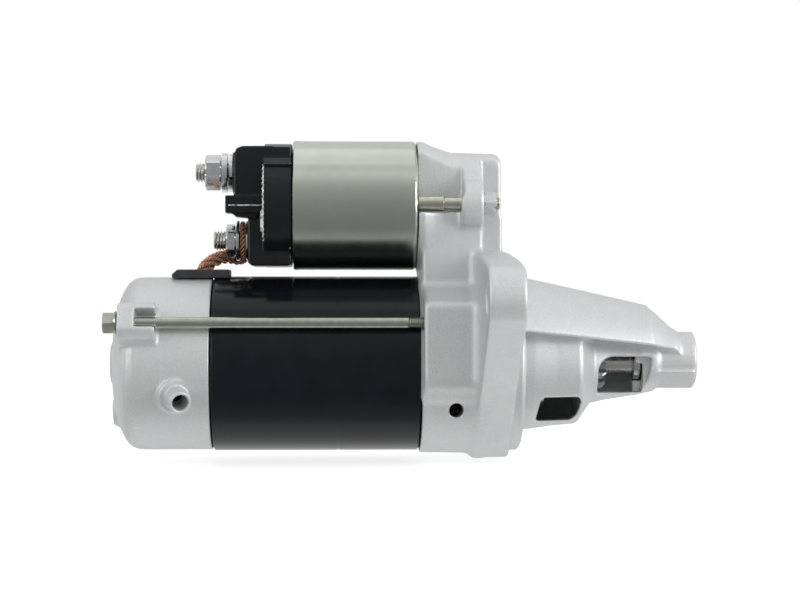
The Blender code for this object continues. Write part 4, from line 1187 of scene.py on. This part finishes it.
def make_mount_studs():
    """Studs and nuts that hold the solenoid."""
    rear = CASE_FRONT + 0.3
    body = softened([(rear, 0.0), (rear, 3.0), (-28.6, 3.0), (-28.2, 3.15), (-27.4, 3.15),
                     (-27.0, 2.4), (-26.6, 0.0)], 0.2)
    neck = (-28.0, -19.0, 2.4)
    for number, centre in enumerate(MOUNT_STUDS, 1):
        stud = merged(f"seat_stud_{number}", [
            spun("body", body, centre, sides=48),
            threaded("thread", -27.2, -5.0, 2.95, 1.0, centre, neck)])
        fit(stud, "yellow_zinc", "housing", f"solenoid_stud_{number}")
        nut = hex_nut(f"seat_nut_{number}", -11.3, -6.3, 10.0, 3.3, centre, radians(4))
        fit(nut, "plate", "housing", f"solenoid_nut_{number}")


def make_motor_lead():
    """Twisted copper lead, and its flattened loop round the motor stud."""
    path = smooth_path(motor_lead_route(), 10)
    lines, wire = rope_lines(path, 2.95, strands=5, wires=5, turns=2.3)
    rope = tubes("rope", lines, wire)
    loop = [Vector(around(-108.45, 6.9, tau * k / 120, MOTOR)) for k in range(121)]
    ring_lines, ring_wire = rope_lines(loop, 1.2, strands=3, wires=3, turns=8)
    ring = tubes("ring", ring_lines, ring_wire * 1.5)
    lug = spun("lug", eased([(-109.0, 4.5), (-109.0, 6.6), (-107.9, 6.6), (-107.9, 4.5)], 0.3, 3),
               MOTOR, closed=True)
    lead = merged("braided_lead", [rope, ring, lug])
    fit(lead, "copper", "housing", "motor_lead")


def make_drive():
    """Output shaft, clutch, pinion, stop ring and nose bush, seen through the windows."""
    shaft = spun("drive_shaft", softened([
        (-37.6, 0.0), (-37.6, 8.8), (-22.6, 8.8), (-22.2, 8.0), (1.4, 8.0), (2.0, 7.2), (2.0, 4.8),
        (73.4, 4.8), (74.0, 4.2), (74.0, 0.0)], 0.25), sides=72)
    flange = spun("carrier_flange", softened([(-41.3, 0.0), (-41.3, 19.0), (-37.6, 19.0),
                                              (-37.6, 0.0)], 0.5), sides=96)
    pins = [spun("pin", softened([(-51.6, 0.0), (-51.6, 2.8), (-40.0, 2.8), (-40.0, 0.0)], 0.4),
                 around(0.0, 15.0, radians(90) + tau * k / 3)[1:], sides=32)
            for k in range(3)]
    shaft = merged("carrier_and_shaft", [shaft, flange] + pins)
    fit(shaft, "ground", "carrier", "output_shaft")
    clutch = spun("clutch_shell", eased([
        (-22.0, 8.3), (-22.0, 15.0), (-19.0, 15.0), (-19.0, 11.0), (-11.0, 11.0), (-11.0, 15.0),
        (-8.0, 15.0), (-8.0, 19.5), (14.2, 19.5), (14.2, 11.6), (2.0, 11.6), (2.0, 8.3)], 0.6, 3),
        closed=True)
    fit(clutch, "ground", "clutch", "clutch_drive")
    sleeve = spun("sleeve", eased([(2.3, 5.1), (2.3, 11.3), (14.5, 11.3), (14.5, 9.2),
                                   (27.0, 9.2), (27.0, 5.1)], 0.4, 3), closed=True)
    teeth = merged("pinion_gear", [pinion_teeth(), sleeve])
    fit(teeth, "gear", "pinion_wheel", "pinion")
    stop = washer("stop_collar", 51.7, 54.5, 5.0, 6.9, (0.0, 0.0), 0.5)
    fit(stop, "ground", "carrier", "pinion_stop")
    bush = spun("nose_bearing", eased([(55.2, 5.0), (55.2, 7.0), (73.0, 7.0), (73.0, 5.0)], 0.4, 3),
                closed=True)
    fit(bush, "bronze", "housing", "nose_bush")


def pinion_teeth():
    """Pinion teeth with chamfered ends, round a bore."""
    outline = gear_outline(teeth=9, module=2.1, tip=11.3, root=7.2, thinning=0.25,
                           phase=radians(10))
    rows = []
    for x, cap in ((25.0, 10.3), (26.0, 11.3), (38.4, 11.3), (40.0, 9.6)):
        rows.append([around(x, min(r, cap), a) for r, a in outline])
    for x, bore in ((40.0, 5.6), (39.5, 5.1), (25.5, 5.1), (25.0, 5.6)):
        rows.append([around(x, bore, a) for _, a in outline])
    return bored("teeth", rows)


def dress_hidden_nodes():
    """Materials for the CAD nodes that stay, inside the motor and the solenoid."""
    groups = {
        "ground": ["armature_shaft", "lever_pin", "planet_gear_1", "planet_gear_2",
                   "planet_gear_3"],
        "iron": ["armature_core", "plunger", "solenoid_core", "contact_rod", "gear_cover_plate",
                 "centre_bracket"],
        "copper": ["armature_winding", "commutator", "solenoid_coil", "contact_disc"],
        "gear": ["ring_gear"],
        "bronze": ["rear_bush"],
        "ferrite": ["magnet_1", "magnet_2", "magnet_3", "magnet_4"],
        "carbon": ["brush_1", "brush_2", "brush_3", "brush_4"],
        "spring": ["brush_spring_1", "brush_spring_2", "brush_spring_3", "brush_spring_4",
                   "plunger_spring"],
        "plate": ["brush_holder"],
        "plastic": ["shift_lever"],
    }
    for key, names in groups.items():
        for name in names:
            dress(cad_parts[name], key)


# ---- studio

def make_stage():
    """Pale floor just under the part, glowing a little so that shadows stay faint."""
    floor_z = cad_box[0][2] - 0.2 * MM
    bm = bmesh.new()
    bmesh.ops.create_grid(bm, x_segments=8, y_segments=8, size=3.0)
    mesh = bpy.data.meshes.new("studio_floor")
    bm.to_mesh(mesh)
    bm.free()
    floor = placed("studio_floor", mesh)
    floor.location = (-0.04, 0.0, floor_z)
    made, tree, shader = new_material("floor_paper")
    tone = ramp(tree, noise(tree, 0.02, 2.0), (0.3, 0.38), (0.7, 0.41))
    seen = node(tree, "ShaderNodeLightPath").outputs["Is Camera Ray"]
    glow = ramp(tree, seen, (0.0, 0.46), (1.0, 0.78))
    feed(tree, shader, Base_Color=tone, Roughness=0.75, Emission_Color=glow,
         Emission_Strength=1.0, Specular_IOR_Level=0.2)
    mesh.materials.append(made)
    floor.visible_glossy = False


def make_world():
    """Light that falls off from the back wall over the ceiling to the front; plain white
    where the camera sees it."""
    world = bpy.data.worlds.new("studio")
    bpy.context.scene.world = world
    world.use_nodes = True
    tree = world.node_tree
    shade = tree.nodes["Background"]
    direction = node(tree, "ShaderNodeTexCoord").outputs["Generated"]
    split = node(tree, "ShaderNodeSeparateXYZ", {"Vector": direction})
    lean = arithmetic(tree, "MULTIPLY_ADD", split.outputs["Y"], 0.8, split.outputs["Z"])
    share = node(tree, "ShaderNodeMapRange", {"Value": lean, "From Min": -1.3,
                                              "From Max": 1.3}).outputs[0]
    above = ramp(tree, share, (0.0, 0.24), (0.2, 0.32), (0.4, 0.43), (0.5, 0.54), (0.64, 0.84),
                 (0.77, 0.70), (0.88, 0.58), (1.0, 0.82))
    dip = arithmetic(tree, "MULTIPLY_ADD", split.outputs["Y"], 0.5,
                     arithmetic(tree, "MULTIPLY", split.outputs["Z"], -1.0))
    below = ramp(tree, dip, (0.35, 0.24), (0.6, 0.36), (0.85, 0.55), (1.05, 0.95))
    light = arithmetic(tree, "MAXIMUM", above, below)
    seen = node(tree, "ShaderNodeLightPath").outputs["Is Camera Ray"]
    tree.links.new(blend(tree, seen, light, (1.0, 1.0, 1.0)), shade.inputs["Color"])


def point_at(item, place, aim):
    """Put a light or a camera at a place, looking at another."""
    item.location = place
    item.rotation_euler = (Vector(aim) - Vector(place)).to_track_quat("-Z", "Y").to_euler()


def make_softbox(name, place, aim, size, power, mirrored=True):
    """Rectangular studio light, left out of reflections unless mirrored."""
    light = bpy.data.lights.new(name, "AREA")
    light.shape = "RECTANGLE"
    light.size, light.size_y = size
    light.energy = power
    lamp = placed(name, light)
    lamp.visible_glossy = mirrored
    point_at(lamp, place, aim)


def make_camera():
    """Level view of the near side, from a little behind the middle."""
    eye_level = 0.0259
    lens = bpy.data.cameras.new("camera")
    lens.lens = 87.2
    camera = placed("camera", lens)
    point_at(camera, (-0.0757, -0.797, eye_level), (-0.044, 0.0, eye_level))
    bpy.context.scene.camera = camera


make_camera()
make_world()
make_softbox("overhead", (-0.05, 0.1, 0.95), (-0.05, 0.0, 0.0), (1.1, 0.7), 0.8)
make_softbox("key_left", (-1.15, -0.75, 0.35), (-0.05, 0.0, 0.03), (0.5, 0.8), 3.2)
make_softbox("key_right", (1.05, -0.65, 0.30), (-0.05, 0.0, 0.03), (0.5, 0.8), 9.0)
make_softbox("front_fill", (0.0, -0.95, 0.55), (-0.04, 0.0, 0.04), (1.0, 0.4), 1.6, False)
make_stage()

make_castings()
make_yoke()
make_solenoid_can()
make_cap()
make_flash()
make_terminals()
make_through_bolts()
make_mount_studs()
make_motor_lead()
make_drive()
dress_hidden_nodes()

bpy.context.scene.view_settings.view_transform = "Standard"
